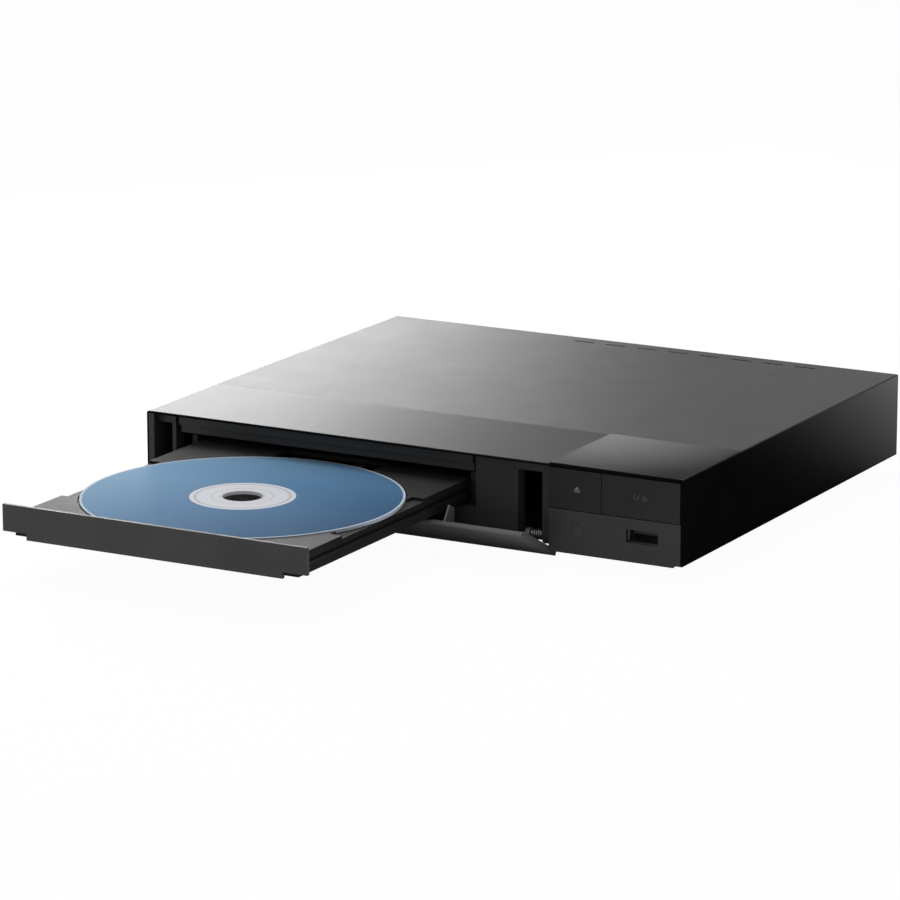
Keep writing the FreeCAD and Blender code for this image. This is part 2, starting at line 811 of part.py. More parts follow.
def make_cover_screws():
    """Make the three screws that hold the rear hem."""
    screws = []
    for x in hem_screw_places():
        seat = (x, s.body_depth, hem_screw_level())
        screws.append(screw("CoverScrew", "Y", seat, s.cover_sheet * 4))
    return group("CoverScrews", screws)


def make_front_panel():
    """Make the moulded front: mouth frame, hinge pockets, and the block that carries the keys and sockets."""
    top = g.panel_top
    back = g.frame_back
    frame = span("PanelFrame", (s.cover_sheet, s.frame_setback, s.frame_bottom), (g.block_left, back, top))
    post = span("PanelPost", (s.cover_sheet, 0, s.chassis_sheet), (g.post_right, s.post_depth, top))
    post_tip = span("PanelPostTip", (s.cover_sheet, 0, s.door_bottom), (g.post_right, s.frame_setback, top))
    post_foot = span(
        "PanelFoot",
        (g.post_right - 1, s.post_depth - s.lug_width, s.chassis_sheet),
        (g.post_right + s.lug_width, s.post_depth, s.chassis_sheet * 3),
    )
    lip = span(
        "PanelLip",
        (g.mouth_left - 1, s.frame_setback + s.lip_setback, s.lip_bottom),
        (g.mouth_right + 1, s.frame_setback + s.lip_setback + s.lip_thickness, top),
    )
    cheeks = []
    for x in (g.mouth_left - s.cheek_thickness, g.mouth_right, g.pocket_left - s.cheek_thickness):
        low = (x, s.frame_setback, s.frame_bottom)
        cheeks.append(box("PanelCheek", low, (s.cheek_thickness, s.cheek_depth, top - s.frame_bottom)))
    rim = span(
        "PanelRim",
        (g.pocket_left - s.cheek_thickness, s.frame_setback - s.rim_rise, s.frame_bottom),
        (g.pocket_left, s.frame_setback, s.pocket_top),
    )
    shelf = span(
        "PanelShelf",
        (g.mouth_left, s.frame_setback, s.mouth_sill - s.frame_thickness),
        (g.mouth_right, s.frame_setback + s.cheek_depth, s.mouth_sill),
    )
    bearing = span(
        "PanelBearing",
        (g.pocket_right, s.door_axis_y - s.door_pin_radius * 2, s.door_axis_z - s.door_pin_radius * 2),
        (g.pocket_right + s.bearing_width, s.door_axis_y + s.door_pin_radius * 3, s.pocket_top),
    )
    block = panel_block()
    windows = panel_windows()
    solids = [frame, post, post_tip, post_foot, lip, rim, shelf, bearing] + cheeks + block
    return cut("FrontPanel", fuse("PanelBlank", solids), windows)


def panel_block():
    """Make the solids of the key block: lower face, side wall, key frame, top shelf and board posts."""
    top = g.corner_bottom
    wall = s.panel_wall
    right = g.right_inside
    web_top = s.key_row - s.key_gap / 2
    face = span("BlockFace", (g.block_left, 0, 0), (right, wall, web_top))
    drop = span("BlockDrop", (g.block_left, 0, -s.block_drop), (right - s.block_short, wall, wall))
    side = span("BlockSide", (g.block_left, 0, s.chassis_sheet), (g.block_wall, s.post_depth, web_top))
    side_top = span("BlockSideTop", (g.block_left, s.frame_setback, wall), (g.block_wall, s.post_depth, top))
    key_back = s.key_frame_setback + s.key_frame_thickness
    key_frame = span("KeyFrame", (g.block_wall, s.key_frame_setback, s.key_row), (right, key_back, top))
    shelf_low = (g.block_left, s.key_frame_setback, s.key_row - wall)
    key_shelf = span("KeyShelf", shelf_low, (right, key_back, s.key_row))
    web = span("KeyWeb", (g.block_left, 0, s.key_row - wall), (right, key_back, web_top))
    roof_low = (g.block_left, s.key_frame_setback, g.corner_bottom - wall / 2)
    roof = span("BlockRoof", roof_low, (right - s.seam, s.strip_depth - s.seam, g.corner_bottom))
    solids = [face, drop, side, side_top, key_frame, key_shelf, web, roof]
    for x, z in front_post_places():
        start = (x, key_back - 0.5, z)
        solids.append(rod("BoardPost", "Y", start, s.standoff_radius * 0.7, s.front_board_y - key_back + 0.5))
    return solids


def front_post_places():
    """Return where the front board is held on the key frame."""
    inset = s.standoff_radius + 1
    xs = (g.block_wall + inset, g.right_inside - inset)
    return [(x, z) for x in xs for z in (s.key_row + inset, g.front_board_top - inset)]


def panel_windows():
    """Make what is cut from the front panel: mouth, pockets, pin bores, key, remote and plug windows."""
    deep = s.post_depth * 2
    mouth = span(
        "MouthCut",
        (g.mouth_left, -1, s.mouth_sill),
        (g.mouth_right, s.frame_setback + s.lip_setback, s.mouth_top),
    )
    mouth_low = span(
        "MouthLowCut",
        (g.mouth_left, s.frame_setback, s.mouth_sill),
        (g.mouth_right, deep, s.lip_bottom),
    )
    pockets = []
    for left, right in ((g.post_right, g.mouth_left - s.cheek_thickness), (g.pocket_left, g.pocket_right)):
        pockets.append(span("PocketCut", (left, -1, -1), (right, g.frame_back + 1, s.pocket_top)))
    bore_radius = s.door_pin_radius + s.running_gap
    left_bore = rod("LeftBore", "X", (0, s.door_axis_y, s.door_axis_z), bore_radius, g.post_right + 1)
    right_start = (g.pocket_right - 1, s.door_axis_y, s.door_axis_z)
    right_bore = rod("RightBore", "X", right_start, bore_radius, s.bearing_width + 2)
    usb_half = s.usb_inner_width / 2 + s.socket_sheet
    usb_rise = s.usb_inner_height / 2
    usb_low = (g.usb_x - usb_half, -1, s.usb_z - usb_rise)
    usb = span("UsbCut", usb_low, (g.usb_x + usb_half, deep, s.usb_z + usb_rise))
    remote_start = (g.window_x, -1, s.window_z)
    remote = rod("RemoteCut", "Y", remote_start, s.window_radius + s.seam / 2, s.panel_wall + 2)
    tools = [mouth, mouth_low, left_bore, right_bore, usb, remote] + pockets
    notch_back = s.door_fin_reach + s.key_gap * 2
    notch_top = g.panel_top - s.seam * 3
    for x in g.fin_starts:
        low = (x - s.bezel_gap, s.frame_setback - 1, s.lip_bottom - 1)
        tools.append(span("FinNotch", low, (x + s.door_fin_width + s.bezel_gap, notch_back, notch_top)))
    for x in g.key_centres:
        start = (x, s.key_frame_setback - 1, g.key_middle)
        length = s.key_frame_thickness + 2
        tools.append(rod("PlungerHole", "Y", start, s.plunger_radius + s.key_gap, length))
    hole_front = s.key_frame_setback - 1
    hole_length = key_pin_end() + s.key_travel + s.key_gap - hole_front
    for x, z in key_pin_places():
        hole_radius = s.key_pin_radius + s.pin_clearance
        tools.append(rod("GuideHole", "Y", (x, hole_front, z), hole_radius, hole_length))
    return tools


def key_pin_places():
    """Return the guide pins of both keys."""
    inset = s.key_pin_inset
    xs = (g.eject_left + inset, g.eject_right - inset, g.power_left + inset, g.power_right - inset)
    return [(x, g.key_roof - inset) for x in xs] + [(x, g.key_floor + inset) for x in xs]


def key_pin_end():
    """Return how far back the guide pins of the keys reach at rest."""
    return s.key_frame_setback + s.key_frame_thickness + s.key_travel


def make_key(name, left, right, centre):
    """Make one key: its face plate, four guide pins and the plunger that reaches the switch."""
    low = (left, 0, g.key_floor)
    plate = span(name + "Plate", low, (right, s.key_thickness, g.key_roof))
    solids = [plate]
    for x, z in key_pin_places():
        if left.value < x.value < right.value:
            start = (x, s.key_thickness, z)
            solids.append(rod(name + "Pin", "Y", start, s.key_pin_radius, key_pin_end() - s.key_thickness))
    reach = g.switch_front - s.key_travel - s.key_gap - s.key_thickness
    start = (centre, s.key_thickness, g.key_middle)
    solids.append(rod(name + "Plunger", "Y", start, s.plunger_radius, reach))
    return fuse(name, solids)


def make_tray_door():
    """Make the flap, drawn closed: a plate thinner at its top, two hinge arms with pins, and two fins."""
    body = doc.addObject("PartDesign::Body", "TrayDoor")
    top = g.panel_top - s.door_top_gap
    left = g.post_right + s.door_end_gap
    right = g.block_left - s.door_end_gap
    thick = s.door_thickness
    section = [(0, s.door_bottom), (thick, s.door_bottom), (thick, top - s.door_taper)]
    section += [(s.door_edge, top), (0, top)]
    pad(body, outline(body, "YZ_Plane", left, section), right - left)
    root = thick * 0.75
    arm = [(root, s.door_axis_z - s.door_boss_radius), (s.door_axis_y, s.door_axis_z - s.door_boss_radius)]
    arm += [(s.door_axis_y, s.door_axis_z + s.door_boss_radius), (root, s.door_axis_z * 2)]
    left_arm = (g.post_right + g.mouth_left - s.cheek_thickness) / 2
    right_arm = g.pocket_left + s.door_arm_width
    axis = (s.door_axis_y, s.door_axis_z)
    for x in (left_arm, right_arm):
        pad(body, outline(body, "YZ_Plane", x, arm), s.door_arm_width)
        pad(body, circle(body, "YZ_Plane", x, axis, s.door_boss_radius), s.door_arm_width)
    pin_left = s.cover_sheet + s.seam * 3
    pad(body, circle(body, "YZ_Plane", pin_left, axis, s.door_pin_radius), left_arm - pin_left)
    pin_right = g.pocket_right + s.bearing_width - s.seam
    pad(body, circle(body, "YZ_Plane", right_arm, axis, s.door_pin_radius), pin_right - right_arm)
    inside = s.door_edge / 2
    fin = [(inside, top - s.door_fin_length), (s.door_fin_reach, top - s.door_fin_length * 0.6)]
    fin += [(s.door_fin_reach, top - s.door_taper * 0.6), (inside, top - s.door_taper * 0.2)]
    for x in g.fin_starts:
        pad(body, outline(body, "YZ_Plane", x, fin), s.door_fin_width)
    return body


def biarc(start, start_way, end, end_way):
    """Return two arcs that join two points and leave and meet them along the given ways."""
    chord = end - start
    both = start_way + end_way
    spread = 2 * (1 - start_way.dot(end_way))
    along = chord.dot(both)
    reach = (math.sqrt(along * along + spread * chord.dot(chord)) - along) / spread
    first = start + start_way * reach
    second = end - end_way * reach
    middle = (first + second) * 0.5
    return [arc_by_corner(start, first, middle), arc_by_corner(middle, second, end)]


def arc_by_corner(start, corner, end):
    """Return the arc between two points whose tangents meet at a corner."""
    half = (start + end) * 0.5
    half_chord = (end - start).Length / 2
    rise = (corner - half).Length
    half_turn = math.atan2(rise, half_chord)
    radius = half_chord / math.sin(half_turn)
    way = (corner - half) * (1 / rise)
    return Part.Arc(start, half + way * (radius * (1 - math.cos(half_turn))), end).toShape()


def make_door_spring():
    """Make the torsion spring on the right pin: turns that touch nothing, and two straight legs."""
    wire = s.spring_wire_radius.value
    mean = s.door_pin_radius.value + s.running_gap.value * 6 + wire
    middle_y = s.door_axis_y.value
    middle_z = s.door_axis_z.value
    start_x = (g.pocket_left + s.door_arm_width * 2 + s.door_end_gap).value + wire
    quarters = int(round(s.spring_turns.value * 4))
    rise = s.spring_pitch.value / 4

    def at(step):
        angle = math.pi / 2 * step
        across = mean * math.cos(angle)
        up = mean * math.sin(angle)
        place = FreeCAD.Vector(start_x + rise * step, middle_y + across, middle_z + up)
        way = FreeCAD.Vector(rise / (math.pi / 2), -up, across)
        return place, way * (1 / way.Length)

    first, first_way = at(0)
    last, last_way = at(quarters)
    foot = first - first_way * (mean * 1.6)
    edges = [Part.LineSegment(foot, first).toShape()]
    for step in range(quarters):
        edges += biarc(*at(step), *at(step + 1))
    edges.append(Part.LineSegment(last, last + last_way * (mean * 3.2)).toShape())
    shell = Part.BRepOffsetAPI.MakePipeShell(Part.Wire(edges))
    shell.add(Part.Wire(Part.Circle(foot, first_way, wire).toShape()))
    shell.build()
    shell.makeSolid()
    spring = doc.addObject("Part::Feature", "DoorSpring")
    spring.Shape = shell.shape()
    gap = least_gap([at(index / 8)[0] for index in range(quarters * 8)]) - 2 * wire
    print("door spring: least gap to itself %.2f mm" % gap)
    return spring


def least_gap(points):
    """Return the least distance between points of a coil that lie at least half a turn apart."""
    nearest = math.inf
    for index, point in enumerate(points):
        for other in points[index + 16:]:
            nearest = min(nearest, point.distanceToPoint(other))
    return nearest


def make_remote_window():
    """Make the round window in front of the remote receiver, with a flange behind the panel."""
    start = (g.window_x, s.seam / 2, s.window_z)
    lens = rod("WindowLens", "Y", start, s.window_radius, s.panel_wall)
    flange_start = (g.window_x, s.panel_wall, s.window_z)
    flange = rod("WindowFlange", "Y", flange_start, s.window_radius * 1.3, s.seam * 4)
    return fuse("RemoteWindow", [lens, flange])


def make_remote_receiver():
    """Make the receiver block with its small dome, on the front board."""
    half = s.window_radius
    back = s.front_board_y
    face = back - s.switch_depth
    low = (g.window_x - half, face, s.window_z - half)
    block = span("ReceiverBlock", low, (g.window_x + half, back, s.window_z + half))
    dome = doc.addObject("Part::Sphere", "ReceiverDome")
    bind(dome, "Radius", half * 0.7)
    put(dome, (g.window_x, face, s.window_z))
    return fuse("RemoteReceiver", [block, dome])


def make_front_board():
    """Make the upright board behind the keys, with a notch that holds the USB shell."""
    low = (g.block_wall + s.seam * 2, s.front_board_y, s.front_board_bottom)
    high = (g.right_inside - s.front_board_inset, s.front_board_y + s.board_thickness, g.front_board_top)
    board = span("FrontBoardSheet", low, high)
    notch = usb_box("UsbNotch", s.socket_sheet, -1, s.front_board_y * 3)
    return cut("FrontBoard", board, [notch])


def usb_box(name, wall, low_y, high_y):
    """Make a box of the USB shell's section, grown by a wall, between two depths."""
    half = s.usb_inner_width / 2 + wall
    rise = s.usb_inner_height / 2 + wall
    return span(name, (g.usb_x - half, low_y, s.usb_z - rise), (g.usb_x + half, high_y, s.usb_z + rise))


def make_usb_socket():
    """Make the bent sheet shell of the USB socket, closed at its back."""
    front = s.panel_wall + s.seam
    back = front + s.usb_depth
    shell = usb_box("UsbShell", s.socket_sheet, front, back)
    hollow = usb_box("UsbHollow", 0, front - 1, back - s.socket_sheet * 4)
    return cut("UsbSocket", shell, [hollow])


def make_usb_tongue():
    """Make the insulator inside the USB socket: a back block and the flat tongue."""
    front = s.panel_wall + s.seam
    back = front + s.usb_depth - s.socket_sheet * 4
    half = s.usb_inner_width / 2
    rise = s.usb_inner_height / 2
    block_low = (g.usb_x - half, back - s.tongue_setback, s.usb_z - rise)
    block = span("TongueBlock", block_low, (g.usb_x + half, back, s.usb_z + rise))
    blade_half = half * 0.88
    low = (g.usb_x - blade_half, front + s.tongue_setback, s.usb_z + rise * 0.1)
    blade = span("TongueBlade", low, (g.usb_x + blade_half, back, s.usb_z + rise * 0.8))
    return fuse("UsbTongue", [block, blade])


def make_tact_switches():
    """Make the two push switches on the front board."""
    switches = []
    for x in g.key_centres:
        half = s.switch_side / 2
        front = s.front_board_y - s.switch_depth
        low = (x - half, front, g.key_middle - half)
        case = span("SwitchCase", low, (x + half, s.front_board_y, g.key_middle + half))
        start = (x, g.switch_front, g.key_middle)
        button = rod("SwitchButton", "Y", start, s.plunger_radius, s.switch_button + 0.5)
        switches.append(fuse("Switch", [case, button]))
    return group("TactSwitches", switches)


def make_disc():
    """Make the disc: a flat ring with the raised stacking ring under its hub."""
    hole = s.disc_hole_radius
    ring = s.disc_ring_radius
    low = s.seam
    profile = [(hole, 0), (ring, 0), (ring, -low), (ring + 1, -low), (ring + 1, 0), (s.disc_radius, 0)]
    profile += [(s.disc_radius, s.disc_thickness), (hole, s.disc_thickness)]
    return turned("Disc", profile, (s.disc_x, g.disc_y), g.disc_bottom)


def make_tray():
    """Make the tray: top plate, bowl, skirts with their guide grooves, recesses, slot and rack."""
    left = g.tray_left
    right = g.tray_right
    front = g.tray_front
    back = g.tray_back
    top = s.tray_top
    bowl_low = top - s.tray_bowl
    plate = span("TrayPlate", (left, front, top - s.tray_plate), (right, back, top))
    bowl = span("TrayBowl", (left, front, bowl_low), (right, g.disc_y + s.bowl_rear, top))
    wall = s.tray_wall
    skirts = [span("TraySkirt", (left, front, s.tray_bottom), (left + wall, back, top))]
    skirts.append(span("TraySkirt", (right - wall, front, s.tray_bottom), (right, back, top)))
    wall_back = front + s.bezel_thickness
    skirts.append(span("TrayFrontWall", (left, front, s.tray_bottom), (right, wall_back, top)))
    rear_rib = span("TrayRearRib", (left, back - wall, s.groove_bottom), (g.rack_left - wall, back, top))
    rack = make_rack()
    centre = (s.disc_x, g.disc_y)
    tools = [rod("MainRecess", "Z", (*centre, g.recess_floor), s.recess_radius, s.tray_bowl)]
    small_floor = g.recess_floor - s.small_recess_depth
    tools.append(rod("SmallRecess", "Z", (*centre, small_floor), s.small_recess_radius, s.tray_bowl))
    tools.append(rod("SlotRound", "Z", (*centre, bowl_low - 1), s.slot_radius, s.tray_bowl * 2))
    slot_low = (s.disc_x - s.slot_radius, g.disc_y, bowl_low - 1)
    tools.append(span("SlotLong", slot_low, (s.disc_x + s.slot_radius, g.disc_y + s.slot_rear, top + 1)))
    for low_x, high_x in ((left - 1, left + s.notch_depth), (right - s.notch_depth, right + 1)):
        low = (low_x, g.disc_y - s.notch_half_length, g.recess_floor)
        tools.append(span("SideNotch", low, (high_x, g.disc_y + s.notch_half_length, top + 1)))
    groove_top = s.groove_bottom + s.groove_height
    for low_x, high_x in ((left - 1, left + s.groove_depth), (right - s.groove_depth, right + 1)):
        low = (low_x, front + s.bezel_thickness * 2, s.groove_bottom)
        tools.append(span("SideGroove", low, (high_x, back + 1, groove_top)))
    return cut("Tray", fuse("TrayBlank", [plate, bowl, rear_rib, rack] + skirts), tools)


def make_rack():
    """Make the rack under the tray: a bar and a row of teeth, with a gap facing the gear at rest."""
    body = doc.addObject("PartDesign::Body", "Rack")
    module = s.rack_module
    pitch = module * math.pi
    height = s.tray_top - s.tray_plate - s.rack_bottom + 0.2
    root = s.rack_pitch_x - module * 1.25
    tip = s.rack_pitch_x + module
    first = s.gear_y + pitch * 2.5
    length = pitch * s.rack_teeth
    bar = rectangle((root - s.rack_bar, first - length), (root, first + pitch))
    pad(body, outline(body, "XY_Plane", s.rack_bottom, bar), height)
    half = pitch / 4 - s.backlash / 2
    slope = module * 0.364
    points = [(root - 0.2, first - half - slope), (tip, first - half + slope)]
    points += [(tip, first + half - slope), (root - 0.2, first + half + slope)]
    tooth = pad(body, outline(body, "XY_Plane", s.rack_bottom, points), height)
    pattern = body.newObject("PartDesign::LinearPattern", "RackTeeth")
    pattern.Originals = [tooth]
    pattern.Direction = (origin_feature(body, "Y_Axis"), [""])
    pattern.Reversed = True
    bind(pattern, "Length", pitch * (s.rack_teeth - 1))
    bind(pattern, "Occurrences", s.rack_teeth)
    body.Tip = pattern
    return body


def make_tray_front():
    """Make the bezel on the front of the tray, with its lower lip."""
    left = s.disc_x - s.bezel_half_width
    right = s.disc_x + s.bezel_half_width
    low = s.bezel_bottom
    lip = low - s.lip_drop
    points = [(left, low), (left + s.lip_inset, low), (left + s.lip_inset, lip), (right - s.lip_inset, lip)]
    points += [(right - s.lip_inset, low), (right, low), (right, s.bezel_top), (left, s.bezel_top)]
    return prism("TrayFront", "XZ_Plane", g.bezel_front, points, s.bezel_thickness)


def make_drive_gear():
    """Make the drive gear: a wide wheel below and the pinion that turns the rack above."""
    centre = (g.drive_x, s.gear_y)
    turn = as_size(0)
    floor = g.gear_floor
    wheel = toothed("DriveWheel", centre, floor, s.wheel_module, s.wheel_teeth, s.wheel_thickness, turn)
    pinion_height = s.tray_top - s.tray_bowl - s.guide_gap * 2 - s.rack_bottom
    pinion = toothed("Pinion", centre, s.rack_bottom, s.rack_module, s.pinion_teeth, pinion_height, turn)
    hub = rod("DriveHub", "Z", (*centre, floor), s.post_radius * 2, s.rack_bottom - floor + 0.5)
    bore = rod("DriveBore", "Z", (*centre, 0), s.post_radius + s.running_gap, s.tray_top)
    return cut("DriveGear", fuse("DriveBlank", [wheel, pinion, hub]), [bore])


def make_pulley_gear():
    """Make the belt pulley with the small gear under it."""
    centre = (g.pulley_x, s.gear_y)
    half_step = as_size(180) / s.small_gear_teeth
    small = toothed(
        "SmallGear", centre, g.gear_floor, s.wheel_module, s.small_gear_teeth, s.wheel_thickness, half_step
    )
    hub_height = s.pulley_bottom - g.gear_floor + 0.5
    hub = rod("PulleyHub", "Z", (*centre, g.gear_floor), s.post_radius * 1.8, hub_height)
    groove = s.belt_side
    radius = s.pulley_radius
    thick = s.pulley_thickness
    edge = (thick - groove) / 2
    profile = [(s.post_radius, 0), (radius, 0), (radius, edge * 0.6), (radius - groove, edge)]
    profile += [(radius - groove, thick - edge), (radius, thick - edge * 0.6)]
    profile += [(radius, thick), (s.post_radius, thick)]
    pulley = turned("Pulley", profile, centre, s.pulley_bottom)
    bore = rod("PulleyBore", "Z", (*centre, 0), s.post_radius + s.running_gap, s.tray_top)
    return cut("PulleyGear", fuse("PulleyBlank", [small, hub, pulley]), [bore])


def make_motor_pulley():
    """Make the little pulley pressed on the motor's shaft, with the shaft itself."""
    centre = (g.motor_x, s.gear_y)
    groove = s.belt_side
    radius = s.motor_pulley_radius
    thick = s.pulley_thickness
    edge = (thick - groove) / 2
    profile = [(0, 0), (radius, 0), (radius, edge * 0.6), (radius - groove / 2, edge)]
    profile += [(radius - groove / 2, thick - edge), (radius, thick - edge * 0.6)]
    profile += [(radius, thick), (0, thick)]
    pulley = turned("MotorWheel", profile, centre, s.pulley_bottom)
    shaft_start = (*centre, s.motor_top - 2)
    shaft = rod("MotorShaft", "Z", shaft_start, s.motor_shaft_radius, s.pulley_bottom - s.motor_top + 2.5)
    return fuse("MotorPulley", [pulley, shaft])


def make_drive_belt():
    """Make the rubber belt round both pulleys, just clear of their grooves."""
    big = (s.pulley_radius - s.belt_side + s.belt_gap).value
    small = (s.motor_pulley_radius - s.belt_side / 2 + s.belt_gap).value
    side = s.belt_side.value * 0.8
    low = (s.pulley_bottom + s.pulley_thickness / 2).value - side / 2
    faces = []
    for grow in (side, 0):
        faces.append(Part.Face(belt_wire(big + grow, small + grow, low)))
    belt = doc.addObject("Part::Feature", "DriveBelt")
    belt.Shape = faces[0].cut(faces[1]).extrude(FreeCAD.Vector(0, 0, side))
    return belt


def belt_wire(big, small, level):
    """Return the closed line round two pulleys of given radii."""
    left = FreeCAD.Vector(g.pulley_x.value, s.gear_y.value, level)
    right = FreeCAD.Vector(g.motor_x.value, s.gear_y.value, level)
    lean = math.acos((big - small) / s.belt_span.value)
    up = FreeCAD.Vector(math.cos(lean), math.sin(lean), 0)
    down = FreeCAD.Vector(math.cos(lean), -math.sin(lean), 0)
    back = FreeCAD.Vector(-1, 0, 0)
    edges = [Part.Arc(left + up * big, left + back * big, left + down * big).toShape()]
    edges.append(Part.LineSegment(left + down * big, right + down * small).toShape())
    edges.append(Part.Arc(right + down * small, right - back * small, right + up * small).toShape())
    edges.append(Part.LineSegment(right + up * small, left + up * big).toShape())
    return Part.Wire(edges)


def make_loading_motor():
    """Make the motor can that hangs in the loader's floor, with the neck round its shaft."""
    centre = (g.motor_x, s.gear_y)
    low = s.chassis_sheet + s.clamp_gap
    can = rod("MotorCan", "Z", (*centre, low), s.motor_radius, s.motor_top - low)
    flats = []
    for side in (-1, 1):
        y = s.gear_y + s.motor_radius * 0.8 * side - (s.motor_radius if side < 0 else 0)
        corner = (g.motor_x - s.motor_radius, y, low)
        flats.append(box("MotorFlat", corner, (s.motor_radius * 2, s.motor_radius, s.motor_top)))
    bore = rod("MotorBore", "Z", (*centre, s.motor_top - 2.2), s.motor_shaft_radius + s.running_gap, 3)
    return cut("LoadingMotor", can, flats + [bore])


def make_loader_base():
    """Make the loader's frame: floor, walls with the tray's guide ribs, posts, lugs and hinge lugs."""
    wall = s.loader_wall
    left = g.loader_left - wall
    right = g.loader_right + wall
    back = g.loader_back + wall
    low = s.loader_floor
    deck = g.loader_deck
    floor = span("LoaderFloor", (left, s.loader_front, low), (right, back, deck))
    solids = [floor]
    solids.append(span("LoaderWall", (left, s.loader_front, low), (g.loader_left, back, s.loader_top)))
    solids.append(span("LoaderWall", (g.loader_right, s.loader_front, low), (right, back, s.loader_top)))
    solids.append(span("LoaderRear", (left, g.loader_back, low), (right, back, s.loader_top)))
    rib_low = s.groove_bottom + s.guide_gap
    rib_high = s.groove_bottom + s.groove_height - s.guide_gap
    reach = s.loader_gap + s.groove_depth - s.guide_gap
    for x in (g.loader_left, g.loader_right - reach):
        low_corner = (x, s.loader_front, rib_low)
        solids.append(span("GuideRib", low_corner, (x + reach, g.loader_back, rib_high)))
    for x in (g.drive_x, g.pulley_x):
        start = (x, s.gear_y, low)
        solids.append(rod("GearPost", "Z", start, s.post_radius, s.pulley_bottom + s.pulley_thickness - low))
        solids.append(rod("GearSeat", "Z", start, s.post_radius * 1.7, g.gear_floor - low - s.seam))
    for x, y in loader_screw_places():
        corner = (x - s.lug_width / 2, y - s.lug_length / 2, s.chassis_sheet)
        solids.append(box("LoaderLug", corner, (s.lug_width, s.lug_length, deck - s.chassis_sheet)))
    for x in g.bush_starts:
        low_corner = (x, s.hinge_y - s.bush_radius * 2, low)
        high_corner = (x + s.bush_width, s.hinge_y + s.bush_radius * 2, s.hinge_z + s.bush_radius * 1.5)
        solids.append(span("HingeLug", low_corner, high_corner))
    guide_back = g.cam_y - s.cam_gap
    guide_reach = s.cam_thickness * 2
    guide_low = (g.cam_left - guide_reach, guide_back - wall, low)
    solids.append(span("CamGuide", guide_low, (g.cam_right + guide_reach, guide_back, g.cam_top)))
    return cut("LoaderBase", fuse("LoaderBlank", solids), loader_cuts())


def loader_cuts():
    """Make what is cut from the loader's frame: traverse window, cam slot, motor hole, bores."""
    low = s.loader_floor - 1
    deck = g.loader_deck + 1
    gap = s.loader_gap
    window_high = (g.frame_right + gap, s.frame_rear + gap, deck)
    window = span("TraverseWindow", (g.frame_left - gap, g.cam_y, low), window_high)
    cam_slot = span(
        "CamSlot",
        (g.cam_left - s.cam_travel - gap, g.cam_y - s.cam_gap, low),
        (g.cam_right + gap, g.cam_y + s.cam_thickness + gap, deck),
    )
    motor_start = (g.motor_x, s.gear_y, low)
    motor = rod("MotorHole", "Z", motor_start, s.motor_radius + s.pin_clearance, s.loader_floor_thickness + 2)
    tools = [window, cam_slot, motor]
    for x, y in loader_screw_places():
        tools.append(rod("LugHole", "Z", (x, y, 0), s.screw_shank_radius + s.screw_gap, s.loader_top))
    for x in g.bush_starts:
        start = (x - 1, s.hinge_y, s.hinge_z)
        tools.append(rod("BushHole", "X", start, s.bush_radius, s.bush_width + 2))
    return tools


def make_loader_screws():
    """Make the four screws that hold the loader's lugs down."""
    screws = []
    for x, y in loader_screw_places():
        seat = (x, y, g.loader_deck)
        screws.append(screw("LoaderScrew", "Z", seat, g.loader_deck - s.chassis_sheet / 2))
    return group("LoaderScrews", screws)


def make_clamp_bridge():
    """Make the bridge over the tray that carries the clamper, on legs that stand on the loader's walls."""
    left = g.loader_left - s.loader_wall
    right = g.loader_right + s.loader_wall
    front = g.disc_in_y - s.bridge_half_depth
    back = g.disc_in_y + s.bridge_half_depth
    top = g.bridge_bottom + s.bridge_thickness
    plate = span("BridgePlate", (left, front, g.bridge_bottom), (right, back, top))
    solids = [plate]
    for x in (left, g.loader_right):
        solids.append(span("BridgeLeg", (x, front, s.loader_top), (x + s.loader_wall, back, top)))
    for y in (front, back - s.bridge_thickness):
        low = (left, y, g.bridge_bottom)
        solids.append(span("BridgeRim", low, (right, y + s.bridge_thickness, top + s.bridge_thickness)))
    hole_start = (s.disc_x, g.disc_in_y, g.bridge_bottom - 1)
    hole = rod("BridgeHole", "Z", hole_start, s.clamper_neck_radius + s.clamp_gap, s.bridge_thickness + 2)
    return cut("ClampBridge", fuse("BridgeBlank", solids), [hole])


def make_clamper():
    """Make the clamper: a puck under the bridge, a neck through it and a flange that hangs on it."""
    low = s.clamper_bottom
    flange_low = g.bridge_bottom + s.bridge_thickness + s.clamp_gap
    cone = s.clamper_cone_radius
    thick = s.clamper_thickness
    neck = s.clamper_neck_radius
    neck_top = flange_low - low
    flange = s.clamper_flange_radius
    flange_top = neck_top + s.clamper_flange
    profile = [(cone, 0), (s.clamper_radius, 0), (s.clamper_radius, thick), (neck, thick), (neck, neck_top)]
    profile += [(flange, neck_top), (flange, flange_top), (0, flange_top), (0, thick * 2), (cone, thick * 2)]
    return turned("Clamper", profile, (s.disc_x, g.disc_in_y), low)


def make_clamper_magnet():
    """Make the ring magnet pressed into the clamper from below."""
    thick = s.magnet_thickness
    low = s.clamper_bottom + s.clamper_thickness * 2 - thick
    radius = s.clamper_cone_radius
    profile = [(radius * 0.3, 0), (radius, 0), (radius, thick), (radius * 0.3, thick)]
    return turned("ClamperMagnet", profile, (s.disc_x, g.disc_in_y), low)


